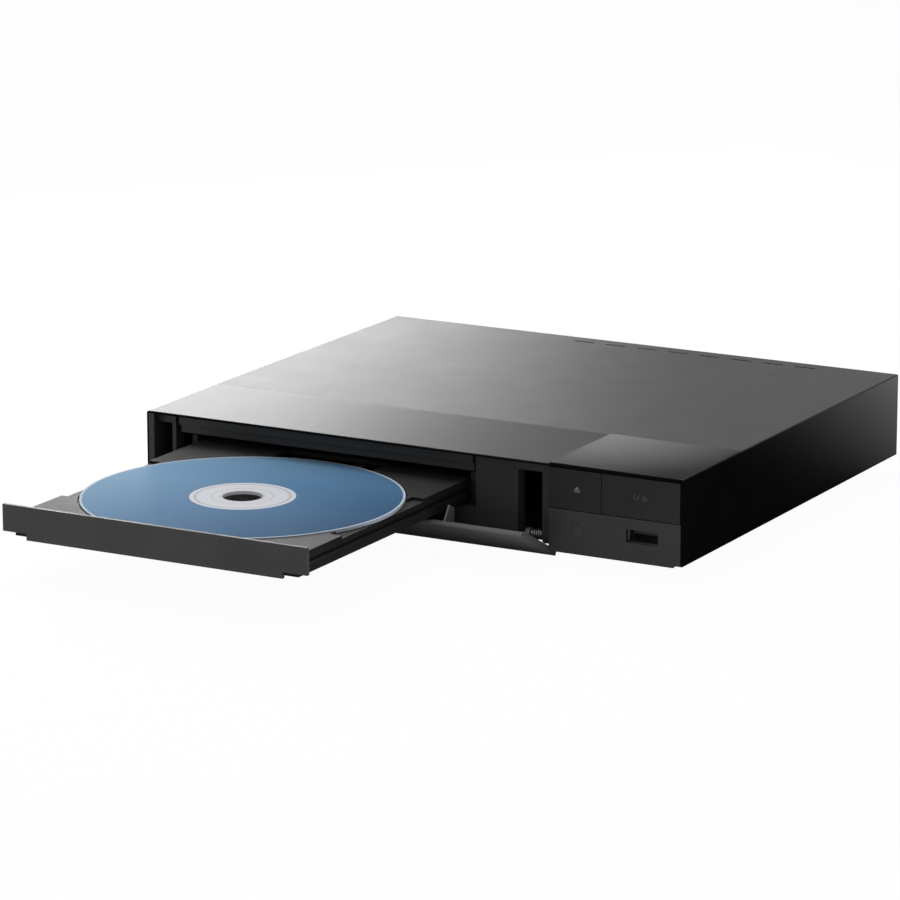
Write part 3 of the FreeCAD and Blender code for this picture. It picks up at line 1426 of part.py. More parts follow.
def make_traverse_frame():
    """Make the traverse frame, drawn level: a rimmed plate with a window, hinge pins and cam pins."""
    left = g.frame_left
    right = g.frame_right
    front = s.frame_front
    back = s.frame_rear
    low = s.frame_base
    rail = s.frame_rail
    high = low + s.frame_plate
    outer = span("FramePlate", (left, front, low), (right, back, low + s.frame_rim))
    solids = [outer]
    for x in (left - g.hinge_pin_length, right - 1):
        start = (x, s.hinge_y, s.hinge_z)
        solids.append(rod("HingePin", "X", start, s.hinge_pin_radius, g.hinge_pin_length + 1))
    for side in (-1, 1):
        start = (s.disc_x + s.cam_pin_half_span * side, g.cam_y + s.cam_gap, s.hinge_z)
        solids.append(rod("CamPin", "Y", start, s.cam_pin_radius, front - g.cam_y + 1))
    hollow_high = (right - rail, back - rail, low + s.frame_rim + 1)
    hollow = span("FrameHollow", (left + rail, front + rail, high), hollow_high)
    window_front = g.disc_in_y + s.spindle_radius + 1
    window_high = (right - rail, back - rail * 3, high + 1)
    window = span("FrameWindow", (left + rail, window_front, low - 1), window_high)
    hole_start = (s.disc_x, g.disc_in_y, low - 1)
    motor_hole = rod("SpindleHole", "Z", hole_start, s.spindle_radius * 0.5, s.frame_plate + 2)
    sled_half = s.sled_motor_radius + s.seam / 2
    sled = span(
        "SledWindow",
        (g.screw_x - sled_half, g.sled_front - s.seam / 2, low - 1),
        (g.screw_x + sled_half, g.sled_front + s.sled_motor_length + s.seam / 2, low + s.frame_rim + 1),
    )
    blank = cut("FrameBlank", fuse("FrameSolids", solids), [hollow, window, motor_hole, sled])
    posts = []
    for x in (g.rod_left, g.rod_right):
        for y in (window_front - s.rod_radius * 3, back - rail * 3):
            corner = (x - s.rod_radius * 1.6, y, high - 0.5)
            extent = (s.rod_radius * 3.2, s.rod_radius * 2, s.rod_z + s.rod_radius * 1.6 - high + 0.5)
            posts.append(box("RodPost", corner, extent))
    end_low = (g.rod_right, back - rail * 3, high - 0.5)
    end_high = (right - rail + 0.5, back - rail * 3 + s.rod_radius * 2, s.rod_z + s.rod_radius * 1.6)
    posts.append(span("ScrewPost", end_low, end_high))
    bores = []
    for x in (g.rod_left, g.rod_right):
        start = (x, g.rod_front, s.rod_z)
        bores.append(rod("RodSeat", "Y", start, s.rod_radius + s.rod_seat_gap, g.rod_length))
    screw_start = (g.screw_x, g.sled_front, s.rod_z)
    screw_reach = g.rod_front + g.rod_length - g.sled_front
    bores.append(rod("ScrewSeat", "Y", screw_start, s.screw_radius + s.running_gap, screw_reach))
    return cut("TraverseFrame", fuse("FrameWithPosts", [blank] + posts), bores)


def make_damper_bushes():
    """Make the two rubber bushes round the traverse's hinge pins."""
    bushes = []
    for x in g.bush_starts:
        start = (x, s.hinge_y, s.hinge_z)
        ring = rod("BushRing", "X", start, s.bush_radius, s.bush_width)
        bore_start = (x - 1, s.hinge_y, s.hinge_z)
        bore = rod("BushBore", "X", bore_start, s.hinge_pin_radius + s.running_gap, s.bush_width + 2)
        bushes.append(cut("Bush", ring, [bore]))
    return group("DamperBushes", bushes)


def make_cam_slider():
    """Make the cam slider: an upright plate with two sloping slots for the traverse's pins."""
    body = doc.addObject("PartDesign::Body", "CamSlider")
    plate = rectangle((g.cam_left, g.cam_bottom), (g.cam_right, g.cam_top))
    pad(body, outline(body, "XZ_Plane", g.cam_y, plate), s.cam_thickness, True)
    half = s.cam_pin_radius + s.cam_gap
    rise = g.cam_drop
    for side in (-1, 1):
        x = s.disc_x + s.cam_pin_half_span * side
        low = g.cam_pin_low
        high = low + rise
        run = x + s.cam_travel
        points = [(x - half * 2, low - half), (x + half * 0.3, low - half), (run + half * 0.3, high - half)]
        points += [(run + half * 2, high - half), (run + half * 2, high + half)]
        points += [(run - half * 0.3, high + half), (x - half * 0.3, low + half), (x - half * 2, low + half)]
        pocket(body, outline(body, "XZ_Plane", g.cam_y, points), s.cam_thickness * 2)
    return body


def make_spindle_motor():
    """Make the spindle motor's stator on its base plate, round the shaft."""
    centre = (s.disc_x, g.disc_in_y)
    low = s.frame_base + s.frame_plate
    plate = rod("SpindleBase", "Z", (*centre, low), s.spindle_radius, s.frame_plate * 0.5)
    core = rod("SpindleCore", "Z", (*centre, low), s.spindle_radius * 0.8, s.spindle_height)
    bore_start = (*centre, low + s.frame_plate * 0.5)
    bore = rod("SpindleBore", "Z", bore_start, s.motor_shaft_radius + s.running_gap, s.spindle_height)
    return cut("SpindleMotor", fuse("SpindleBlank", [plate, core]), [bore])


def make_turntable():
    """Make the turntable: the seat, the skirt over the stator, the centring cone and the shaft."""
    floor = s.frame_base + s.frame_plate
    seat = s.turntable_seat - floor
    thick = s.turntable_thickness
    radius = s.turntable_radius
    skirt = s.frame_plate * 0.5 + s.seam * 3
    inner = s.spindle_radius * 0.8 + s.seam * 3
    shaft = s.motor_shaft_radius
    cone_top = seat + s.hub_height
    shaft_low = s.frame_plate * 0.5 + s.seam * 2
    rim_low = seat - thick
    hub = s.hub_radius
    profile = [(0, shaft_low), (shaft, shaft_low), (shaft, rim_low), (inner, rim_low), (inner, skirt)]
    profile += [(inner + 1, skirt), (inner + 1, rim_low), (radius, rim_low), (radius, seat)]
    profile += [(hub, seat), (hub, seat + s.hub_height * 0.4), (hub * 0.8, cone_top), (0, cone_top)]
    return turned("Turntable", profile, (s.disc_x, g.disc_in_y), floor)


def make_optical_pickup():
    """Make the pickup block between the rods, with its bushes, lens holder and screw follower."""
    low = s.frame_base
    high = low + s.pickup_height
    front = g.pickup_y - s.pickup_depth * 0.35
    back = front + s.pickup_depth
    left = g.rod_left + s.rod_radius * 2.2
    right = g.rod_right - s.rod_radius * 2.2
    block = span("PickupBlock", (left, front, low), (right, back, high))
    deck_half = s.slot_radius * 0.6
    deck_inset = s.pickup_depth * 0.1
    deck_high = (s.disc_x + deck_half, back - deck_inset, high + s.rod_radius)
    raised = span("PickupDeck", (s.disc_x - deck_half, front + deck_inset, high - 0.5), deck_high)
    turret_start = (s.disc_x, g.pickup_y, high)
    turret_height = g.disc_level - high - s.disc_gap * 6
    turret = rod("PickupTurret", "Z", turret_start, s.lens_radius * 1.5, turret_height)
    bush_top = s.rod_z + s.rod_radius * 1.8
    bush_low = (g.rod_left - s.rod_radius * 1.8, front, low + 1)
    left_bush = span("PickupBush", bush_low, (left + 1, back, bush_top))
    shoe_inset = s.pickup_depth * 0.3
    shoe_high = (g.rod_right + s.rod_radius * 1.6, back - shoe_inset, bush_top)
    right_bush = span("PickupShoe", (right - 1, front + shoe_inset, low + 1), shoe_high)
    arm_inset = s.pickup_depth * 0.35
    arm_low = (g.rod_right + s.rod_radius * 1.2, front + arm_inset, s.rod_z + s.rod_radius * 0.4)
    arm = span("ScrewArm", arm_low, (g.screw_x + s.screw_radius * 1.5, back - arm_inset, bush_top))
    tools = []
    for x in (g.rod_left, g.rod_right):
        start = (x, front - 1, s.rod_z)
        tools.append(rod("PickupBore", "Y", start, s.rod_radius + s.running_gap, s.pickup_depth + 2))
    start = (g.screw_x, front - 1, s.rod_z)
    tools.append(rod("ScrewRelief", "Y", start, s.screw_radius + s.seam, s.pickup_depth + 2))
    well_start = (s.disc_x, g.pickup_y, turret_start[2] + turret_height - s.seam * 4)
    tools.append(rod("LensWell", "Z", well_start, s.lens_radius, s.seam * 6))
    solids = [block, raised, turret, left_bush, right_bush, arm]
    return cut("OpticalPickup", fuse("PickupBlank", solids), tools)


def make_objective_lens():
    """Make the lens: a short cylinder with a low crown."""
    radius = s.lens_radius
    height = s.seam * 4
    profile = [(0, 0), (radius, 0), (radius, height * 0.6), (radius * 0.7, height), (0, height * 1.3)]
    floor = g.disc_level - s.disc_gap * 6 - s.seam * 4
    return turned("ObjectiveLens", profile, (s.disc_x, g.pickup_y), floor)


def make_guide_rods():
    """Make the two steel rods that the pickup slides on."""
    rods = []
    for x in (g.rod_left, g.rod_right):
        rods.append(rod("GuideRod", "Y", (x, g.rod_front, s.rod_z), s.rod_radius, g.rod_length))
    return group("GuideRods", rods)


def make_sled_motor():
    """Make the small motor that turns the lead screw: a can with flats, lying in the frame."""
    start = (g.screw_x, g.sled_front, s.rod_z)
    can = rod("SledCan", "Y", start, s.sled_motor_radius, s.sled_motor_length)
    side = s.sled_motor_radius * 2
    low = (g.screw_x - s.sled_motor_radius, g.sled_front, s.rod_z - s.sled_motor_flat - side)
    below = box("SledFlat", low, (side, s.sled_motor_length, side))
    above_low = (low[0], low[1], s.rod_z + s.sled_motor_flat)
    above = box("SledFlat", above_low, (side, s.sled_motor_length, side))
    bore_start = (g.screw_x, g.sled_front + s.sled_motor_length / 2 - s.running_gap, s.rod_z)
    bore = rod("SledBore", "Y", bore_start, s.screw_radius + s.running_gap, s.sled_motor_length)
    return cut("SledMotor", can, [below, above, bore])


def make_lead_screw():
    """Make the lead screw, with its thread drawn as ring grooves."""
    start = g.sled_front + s.sled_motor_length / 2
    length = g.rod_front + g.rod_length - start
    blank = rod("ScrewBlank", "Y", (g.screw_x, start, s.rod_z), s.screw_radius, length)
    rings = []
    pitch = s.pickup_travel * 1.4 / s.thread_rings
    for index in range(int(s.thread_rings.value)):
        ring_start = (g.screw_x, g.rod_front + s.rod_radius * 3 + pitch * index, s.rod_z)
        outer = rod("ThreadOuter", "Y", ring_start, s.screw_radius + 1, pitch / 2)
        inner = rod("ThreadInner", "Y", ring_start, s.screw_radius * 0.8, pitch / 2)
        rings.append(cut("ThreadRing", outer, [inner]))
    return cut("LeadScrew", blank, rings)


def make_main_board():
    """Make the main board with its screw holes."""
    low = (g.main_board_left, s.main_board_front, s.board_level)
    board = span("MainBoardSheet", low, (g.main_board_right, g.rear_inside - s.seam, g.board_top))
    holes = []
    for x, y in board_screw_places():
        start = (x, y, s.board_level - 1)
        holes.append(rod("BoardHole", "Z", start, s.screw_shank_radius + s.hole_gap, s.board_thickness + 2))
    return cut("MainBoard", board, holes)


def make_board_screws():
    """Make the four screws of the main board."""
    screws = []
    for x, y in board_screw_places():
        screws.append(screw("BoardScrew", "Z", (x, y, g.board_top), s.board_thickness + s.board_level * 0.6))
    return group("BoardScrews", screws)


def make_main_chip():
    """Make the main chip on the board."""
    half = s.chip_side / 2
    square = rectangle((g.chip_x - half, g.chip_y - half), (g.chip_x + half, g.chip_y + half))
    return prism("MainChip", "XY_Plane", g.board_top, square, s.chip_height)


def make_heat_sink():
    """Make the finned heat sink that lies on the main chip."""
    half = s.sink_side / 2
    low_z = g.board_top + s.chip_height
    plate_high = s.sink_height * 0.3
    body = doc.addObject("PartDesign::Body", "HeatSink")
    base = rectangle((g.chip_x - half, g.chip_y - half), (g.chip_x + half, g.chip_y + half))
    pad(body, outline(body, "XY_Plane", low_z, base), plate_high)
    fin_width = s.sink_side / (s.sink_fins * 2 - 1)
    fin = rectangle((g.chip_x - half, g.chip_y - half), (g.chip_x - half + fin_width, g.chip_y + half))
    first = pad(body, outline(body, "XY_Plane", low_z, fin), s.sink_height)
    pattern = body.newObject("PartDesign::LinearPattern", "SinkFins")
    pattern.Originals = [first]
    pattern.Direction = (origin_feature(body, "X_Axis"), [""])
    bind(pattern, "Length", s.sink_side - fin_width)
    bind(pattern, "Occurrences", s.sink_fins)
    body.Tip = pattern
    return body


def make_capacitors():
    """Make the row of capacitors beside the power inlet."""
    cans = []
    for index in range(4):
        y = g.chip_y + s.sink_side * 0.2 + s.sink_height * index
        start = (g.power_x - s.power_width * 0.2, y, g.board_top)
        cans.append(rod("Capacitor", "Z", start, s.standoff_radius, s.sink_height))
    return group("Capacitors", cans)


def make_board_connectors():
    """Make the connectors of the flat cables: one on each board for each cable."""
    height = s.standoff_radius
    solids = []
    low = (g.loader_cable_x, g.cable_y, g.board_top)
    solids.append(box("LoaderConnector", low, (s.lug_width, g.cable_width, height)))
    low = (g.front_cable_x, s.main_board_front + 1, g.board_top)
    solids.append(box("FrontConnector", low, (g.cable_width, s.lug_width, height)))
    low = (g.front_cable_x, s.front_board_y + s.board_thickness, g.board_top)
    solids.append(box("PanelConnector", low, (g.cable_width, s.lug_width, height)))
    return group("BoardConnectors", solids)


def make_loader_ribbon():
    """Make the flat cable from the main board over the loader's wall and under its floor."""
    thick = s.ribbon_thickness
    top = g.board_top + s.standoff_radius * 0.5
    bend = g.loader_right + s.loader_wall + s.seam * 5
    low = (s.chassis_sheet + s.loader_floor) / 2
    end = g.frame_right + s.loader_gap
    points = [(g.loader_cable_x, top), (bend, top), (bend, low), (end, low), (end, low - thick)]
    points += [(bend + thick, low - thick), (bend + thick, top - thick), (g.loader_cable_x, top - thick)]
    return prism("LoaderRibbon", "XZ_Plane", g.cable_y + 1, points, g.cable_width - 2)


def make_front_ribbon():
    """Make the flat cable from the front board to the main board."""
    thick = s.ribbon_thickness
    level = g.board_top + s.standoff_radius * 0.5
    start = s.front_board_y + s.board_thickness + s.lug_width
    end = s.main_board_front + 1
    sag = s.standoff_radius
    middle = (start + end) / 2
    points = [(start, level), (middle, level - sag), (end, level), (end, level - thick)]
    points += [(middle, level - sag - thick), (start, level - thick)]
    return prism("FrontRibbon", "YZ_Plane", g.front_cable_x + 1, points, g.cable_width - 2)


def make_hdmi_socket():
    """Make the HDMI shell with its tongue block."""
    face, depth = socket_faces()[0], s.hdmi_depth
    outer_low = (face[0][0], g.rear_wall - depth, face[0][1])
    outer = span("HdmiShell", outer_low, (face[1][0], g.rear_wall, face[1][1]))
    sheet = s.socket_sheet
    low = (face[0][0] + sheet, g.rear_wall - depth + s.hdmi_inner_height, face[0][1] + sheet)
    hollow = span("HdmiHollow", low, (face[1][0] - sheet, g.rear_wall + 1, face[1][1] - sheet))
    half = s.hdmi_inner_width * 0.4
    rise = s.hdmi_inner_height
    tongue_low = (g.hdmi_x - half, g.rear_wall - depth + 1, face[0][1] + rise * 0.5)
    tongue_high = (g.hdmi_x + half, g.rear_wall - depth * 0.1, face[0][1] + rise * 0.8)
    tongue = span("HdmiTongue", tongue_low, tongue_high)
    return fuse("HdmiSocket", [cut("HdmiCase", outer, [hollow]), tongue])


def make_lan_socket():
    """Make the network socket with its square hole and latch notch."""
    face = socket_faces()[1]
    low = (face[0][0], g.rear_wall - s.lan_depth, face[0][1])
    outer = span("LanCase", low, (face[1][0], g.rear_wall, face[1][1]))
    hole_low = face[0][1] + (s.lan_height - s.lan_hole_height) * 0.3
    half = s.lan_hole_width / 2
    hole_front = g.rear_wall - s.lan_hole_depth
    hole_high = (g.lan_x + half, g.rear_wall + 1, hole_low + s.lan_hole_height)
    hole = span("LanHole", (g.lan_x - half, hole_front, hole_low), hole_high)
    notch_half = half * 0.5
    notch_top = hole_low + s.lan_hole_height + s.chip_height
    notch_high = (g.lan_x + notch_half, g.rear_wall + 1, notch_top)
    notch = span("LanNotch", (g.lan_x - notch_half, hole_front, hole_low), notch_high)
    return cut("LanSocket", outer, [hole, notch])


def make_audio_socket():
    """Make the digital audio socket: a block on the board and its barrel in the rear panel."""
    radius = s.audio_barrel_radius
    back = g.rear_inside - s.seam
    low = (g.audio_x - radius, back - radius * 3, g.board_top)
    block = span("AudioBlock", low, (g.audio_x + radius, back, g.audio_z + radius * 1.2))
    barrel = rod("AudioBarrel", "Y", (g.audio_x, back - 1, g.audio_z), radius, s.body_depth - back + 1)
    hole_start = (g.audio_x, back - radius * 2, g.audio_z)
    hole_length = s.body_depth - back + radius * 2 + 1
    hole = rod("AudioHole", "Y", hole_start, s.audio_hole_radius, hole_length)
    return cut("AudioSocket", fuse("AudioBlank", [block, barrel]), [hole])


def make_power_inlet():
    """Make the power inlet: a block with a round bore and the pin in its middle."""
    face = socket_faces()[2]
    low = (face[0][0], g.rear_wall - s.power_depth, face[0][1])
    block = span("PowerBlock", low, (face[1][0], g.rear_wall, face[1][1]))
    centre_z = face[0][1] + s.power_height * 0.55
    bore_start = (g.power_x, g.rear_wall - s.power_depth * 0.7, centre_z)
    bore = rod("PowerBore", "Y", bore_start, s.power_hole_radius, s.power_depth)
    pin_start = (g.power_x, g.rear_wall - s.power_depth * 0.7 - 1, centre_z)
    pin = rod("PowerPin", "Y", pin_start, s.power_pin_radius, s.power_depth * 0.6)
    return fuse("PowerInlet", [cut("PowerCase", block, [bore]), pin])


def make_wireless_board():
    """Make the small wireless board that stands on the main board beside the loader."""
    low = (g.main_board_left + s.lug_width * 2, s.main_board_front + s.sink_side * 0.8, g.board_top)
    board = box("WirelessSheet", low, (s.chip_side, s.chip_side * 0.6, s.chip_height * 0.6))
    can_low = (low[0] + 2, low[1] + 2, g.board_top)
    can = box("WirelessCan", can_low, (s.chip_side * 0.6, s.chip_side * 0.4, s.standoff_radius))
    return fuse("WirelessBoard", [board, can])


def work_out_sockets():
    """Space the four rear sockets evenly along the main board."""
    widths = (s.hdmi_inner_width + s.socket_sheet * 2, s.lan_width, s.audio_barrel_radius * 2, s.power_width)
    gap = (g.main_board_right - g.main_board_left - sum(widths)) / (len(widths) + 1)
    middles = []
    left = g.main_board_left + gap
    for width in widths:
        middles.append(left + width / 2)
        left = left + width + gap
    g.hdmi_x, g.lan_x, g.audio_x, g.power_x = middles


def work_out_more_places():
    """Add the places that depend on the first ones: key block wall, cam, hinge pins, rods, cables."""
    g.block_wall = g.block_left + s.panel_wall * 0.8
    g.fin_starts = (g.mouth_left + s.bezel_gap, g.mouth_right - s.bezel_gap - s.door_fin_width)
    g.rear_flange_end = g.main_board_left - s.lug_width
    g.switch_front = s.front_board_y - s.switch_depth - s.switch_button
    g.rack_left = s.rack_pitch_x - s.rack_module * 1.25 - s.rack_bar
    g.hinge_pin_length = s.loader_gap + s.bush_width + s.seam
    g.bush_starts = (g.frame_left - s.loader_gap - s.bush_width, g.frame_right + s.loader_gap)
    g.cam_y = s.frame_front - s.seam * 2 - s.cam_thickness - s.cam_gap
    g.cam_drop = (s.hinge_y - g.cam_y) * sine(s.drop_angle)
    g.cam_pin_low = s.hinge_z - g.cam_drop
    g.cam_bottom = g.cam_pin_low - s.cam_pin_radius - s.cam_gap - s.cam_thickness * 0.3
    g.cam_top = s.hinge_z + s.cam_pin_radius + s.cam_gap + s.cam_thickness * 0.5
    g.cam_left = s.disc_x - s.cam_pin_half_span - s.cam_thickness * 4
    g.cam_right = s.disc_x + s.cam_pin_half_span + s.cam_travel + s.cam_thickness * 4
    g.rod_front = g.disc_in_y + s.spindle_radius + 1 - s.rod_radius * 3
    g.rod_length = s.frame_rear - s.frame_rail * 3 + s.rod_radius * 2 - g.rod_front
    g.sled_front = g.rod_front - s.sled_gap - s.sled_motor_length
    g.disc_level = s.turntable_seat
    g.audio_z = g.board_top + s.audio_barrel_radius * 1.6
    g.chip_x = (g.main_board_left + g.main_board_right) / 2
    g.chip_y = (s.main_board_front + g.rear_inside) / 2
    g.cable_width = s.chip_side * 0.8
    g.cable_y = g.chip_y - s.sink_side
    g.loader_cable_x = g.main_board_left + 1
    g.front_cable_x = g.block_wall + s.standoff_radius


def make_all():
    """Make every piece and give it its name and its place."""
    keep(make_top_cover(), "top_cover")
    keep(make_corner_panel(), "corner_panel")
    keep(make_bottom_chassis(), "bottom_chassis")
    keep(make_rear_panel(), "rear_panel")
    keep(make_front_panel(), "front_panel")
    keep(make_feet(), "feet")
    keep(make_cover_screws(), "cover_screws")
    keep_tilted(make_tray_door(), "tray_door", s.door_axis_y, s.door_axis_z, s.door_open)
    keep(make_door_spring(), "door_spring")
    keep(make_key("EjectKey", g.eject_left, g.eject_right, g.key_centres[0]), "eject_key")
    keep(make_key("PowerKey", g.power_left, g.power_right, g.key_centres[1]), "power_key")
    keep(make_remote_window(), "remote_window")
    keep(make_remote_receiver(), "remote_receiver")
    keep(make_front_board(), "front_board")
    keep(make_tact_switches(), "tact_switches")
    keep(make_usb_socket(), "usb_socket")
    keep(make_usb_tongue(), "usb_tongue")
    keep(make_disc(), "disc")
    keep(make_tray(), "tray")
    keep(make_tray_front(), "tray_front")
    keep(make_drive_gear(), "drive_gear")
    keep(make_pulley_gear(), "pulley_gear")
    keep(make_motor_pulley(), "motor_pulley")
    keep(make_drive_belt(), "drive_belt")
    keep(make_loading_motor(), "loading_motor")
    keep(make_loader_base(), "loader_base")
    keep(make_loader_screws(), "loader_screws")
    keep(make_clamp_bridge(), "clamp_bridge")
    keep(make_clamper(), "clamper")
    keep(make_clamper_magnet(), "clamper_magnet")
    keep_on_traverse(make_traverse_frame(), "traverse_frame")
    keep(make_damper_bushes(), "damper_bushes")
    keep(make_cam_slider(), "cam_slider")
    keep_on_traverse(make_spindle_motor(), "spindle_motor")
    keep_on_traverse(make_turntable(), "turntable")
    keep_on_traverse(make_optical_pickup(), "optical_pickup")
    keep_on_traverse(make_objective_lens(), "objective_lens")
    keep_on_traverse(make_guide_rods(), "guide_rods")
    keep_on_traverse(make_sled_motor(), "sled_motor")
    keep_on_traverse(make_lead_screw(), "lead_screw")
    keep(make_main_board(), "main_board")
    keep(make_board_screws(), "board_screws")
    keep(make_main_chip(), "main_chip")
    keep(make_heat_sink(), "heat_sink")
    keep(make_capacitors(), "capacitors")
    keep(make_board_connectors(), "board_connectors")
    keep(make_loader_ribbon(), "loader_ribbon")
    keep(make_front_ribbon(), "front_ribbon")
    keep(make_hdmi_socket(), "hdmi_socket")
    keep(make_lan_socket(), "network_socket")
    keep(make_audio_socket(), "audio_socket")
    keep(make_power_inlet(), "power_inlet")
    keep(make_wireless_board(), "wireless_board")


def check_and_write():
    """Check every object and every piece, then write one file for each piece."""
    doc.recompute()
    for thing in doc.Objects:
        if "Invalid" in thing.State or "Error" in thing.State:
            raise RuntimeError("%s (%s) failed: %s" % (thing.Name, thing.Label, thing.State))
    for label, piece in pieces.items():
        if piece.Shape.isNull() or not piece.Shape.isValid() or piece.Shape.Volume <= 0:
            raise RuntimeError("%s has no valid solid" % label)
    os.makedirs("parts", exist_ok=True)
    for label, piece in pieces.items():
        piece.Shape.exportStep(os.path.join("parts", label + ".step"))
        print("%-18s %3d solids  %10.1f mm3" % (label, len(piece.Shape.Solids), piece.Shape.Volume))
    print("%d pieces" % len(pieces))


s = make_sheet()
g = work_out_places()
work_out_sockets()
work_out_more_places()
make_all()
check_and_write()
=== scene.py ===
"""Looks of a flat disc player with its tray out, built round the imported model.

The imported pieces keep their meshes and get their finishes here. The printed marks of the keys and the
contacts inside the sockets are modelled here. Lengths are in metres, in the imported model's own frame: X to
the right, Y to the back and Z up, with the floor at zero. Sizes of the modelled pieces are in millimetres,
measured from the case's front left bottom corner.
"""

from __future__ import annotations

import json
import logging
import math
from dataclasses import dataclass, field
from enum import Enum
from typing import ClassVar

import bmesh
import bpy
from mathutils import Matrix, Vector

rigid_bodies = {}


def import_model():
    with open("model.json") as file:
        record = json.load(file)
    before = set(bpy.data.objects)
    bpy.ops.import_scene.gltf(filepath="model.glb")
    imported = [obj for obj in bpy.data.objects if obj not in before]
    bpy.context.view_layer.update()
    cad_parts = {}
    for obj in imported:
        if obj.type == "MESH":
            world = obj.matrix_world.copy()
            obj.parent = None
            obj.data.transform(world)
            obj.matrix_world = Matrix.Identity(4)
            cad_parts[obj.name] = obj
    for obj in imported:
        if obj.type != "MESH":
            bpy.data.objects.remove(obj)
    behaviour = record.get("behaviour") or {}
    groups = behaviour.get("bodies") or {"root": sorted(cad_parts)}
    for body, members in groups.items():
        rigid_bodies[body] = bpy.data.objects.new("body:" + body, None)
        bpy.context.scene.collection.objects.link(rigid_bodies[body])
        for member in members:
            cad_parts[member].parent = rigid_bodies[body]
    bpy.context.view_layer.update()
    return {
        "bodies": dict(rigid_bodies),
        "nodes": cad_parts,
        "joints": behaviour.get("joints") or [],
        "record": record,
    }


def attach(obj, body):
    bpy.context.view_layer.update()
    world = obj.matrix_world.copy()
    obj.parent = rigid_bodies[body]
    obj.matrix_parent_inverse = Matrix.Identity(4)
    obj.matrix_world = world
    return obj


LOG = logging.getLogger("disc_player")
MILLIMETRE = 0.001
WELD = 1e-6

Socket = bpy.types.NodeSocket
Colour = tuple[float, float, float]
Point = tuple[float, float]
Corner = tuple[float, float, float]

CASE_CORNER = (-115.0, -39.35, 6.0)
PATCH_STOPS = (0.3, 0.7)
GRAIN_DETAIL = 2.0
GRAIN_SHARE = 0.5
UNEVEN_SPAN = (0.45, 1.05)
STEEP_TO_LEVEL = (0.3, 0.7)
SLOPING_TO_LEVEL = (0.7, 0.95)
UNDER_TO_SIDE = (-0.5, -0.4)
MIX_FIRST, MIX_SECOND, MIX_RESULT = 6, 7, 2


class Body(Enum):
    """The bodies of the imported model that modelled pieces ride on."""

    CASE = "case"
    EJECT_KEY = "eject_key"
    POWER_KEY = "power_key"


class Grain(Enum):
    """How the fine relief of a surface runs."""

    SPECKLE = (1.0, 1.0, 1.0)
    ACROSS = (0.03, 1.0, 1.0)
    LENGTHWISE = (1.0, 0.03, 1.0)
    UPRIGHT = (1.0, 1.0, 0.03)


def grey(level: float) -> Colour:
    """Return a neutral colour of one level."""
    return (level, level, level)


def case_point(x: float, y: float, z: float) -> Vector:
    """Turn a point measured from the case's front left bottom corner into the model's frame.

    Args:
        x: millimetres to the right of the case's left side.
        y: millimetres behind its front.
        z: millimetres above its underside.

    Returns:
        The point in metres.
    """
    return (Vector((x, y, z)) + Vector(CASE_CORNER)) * MILLIMETRE


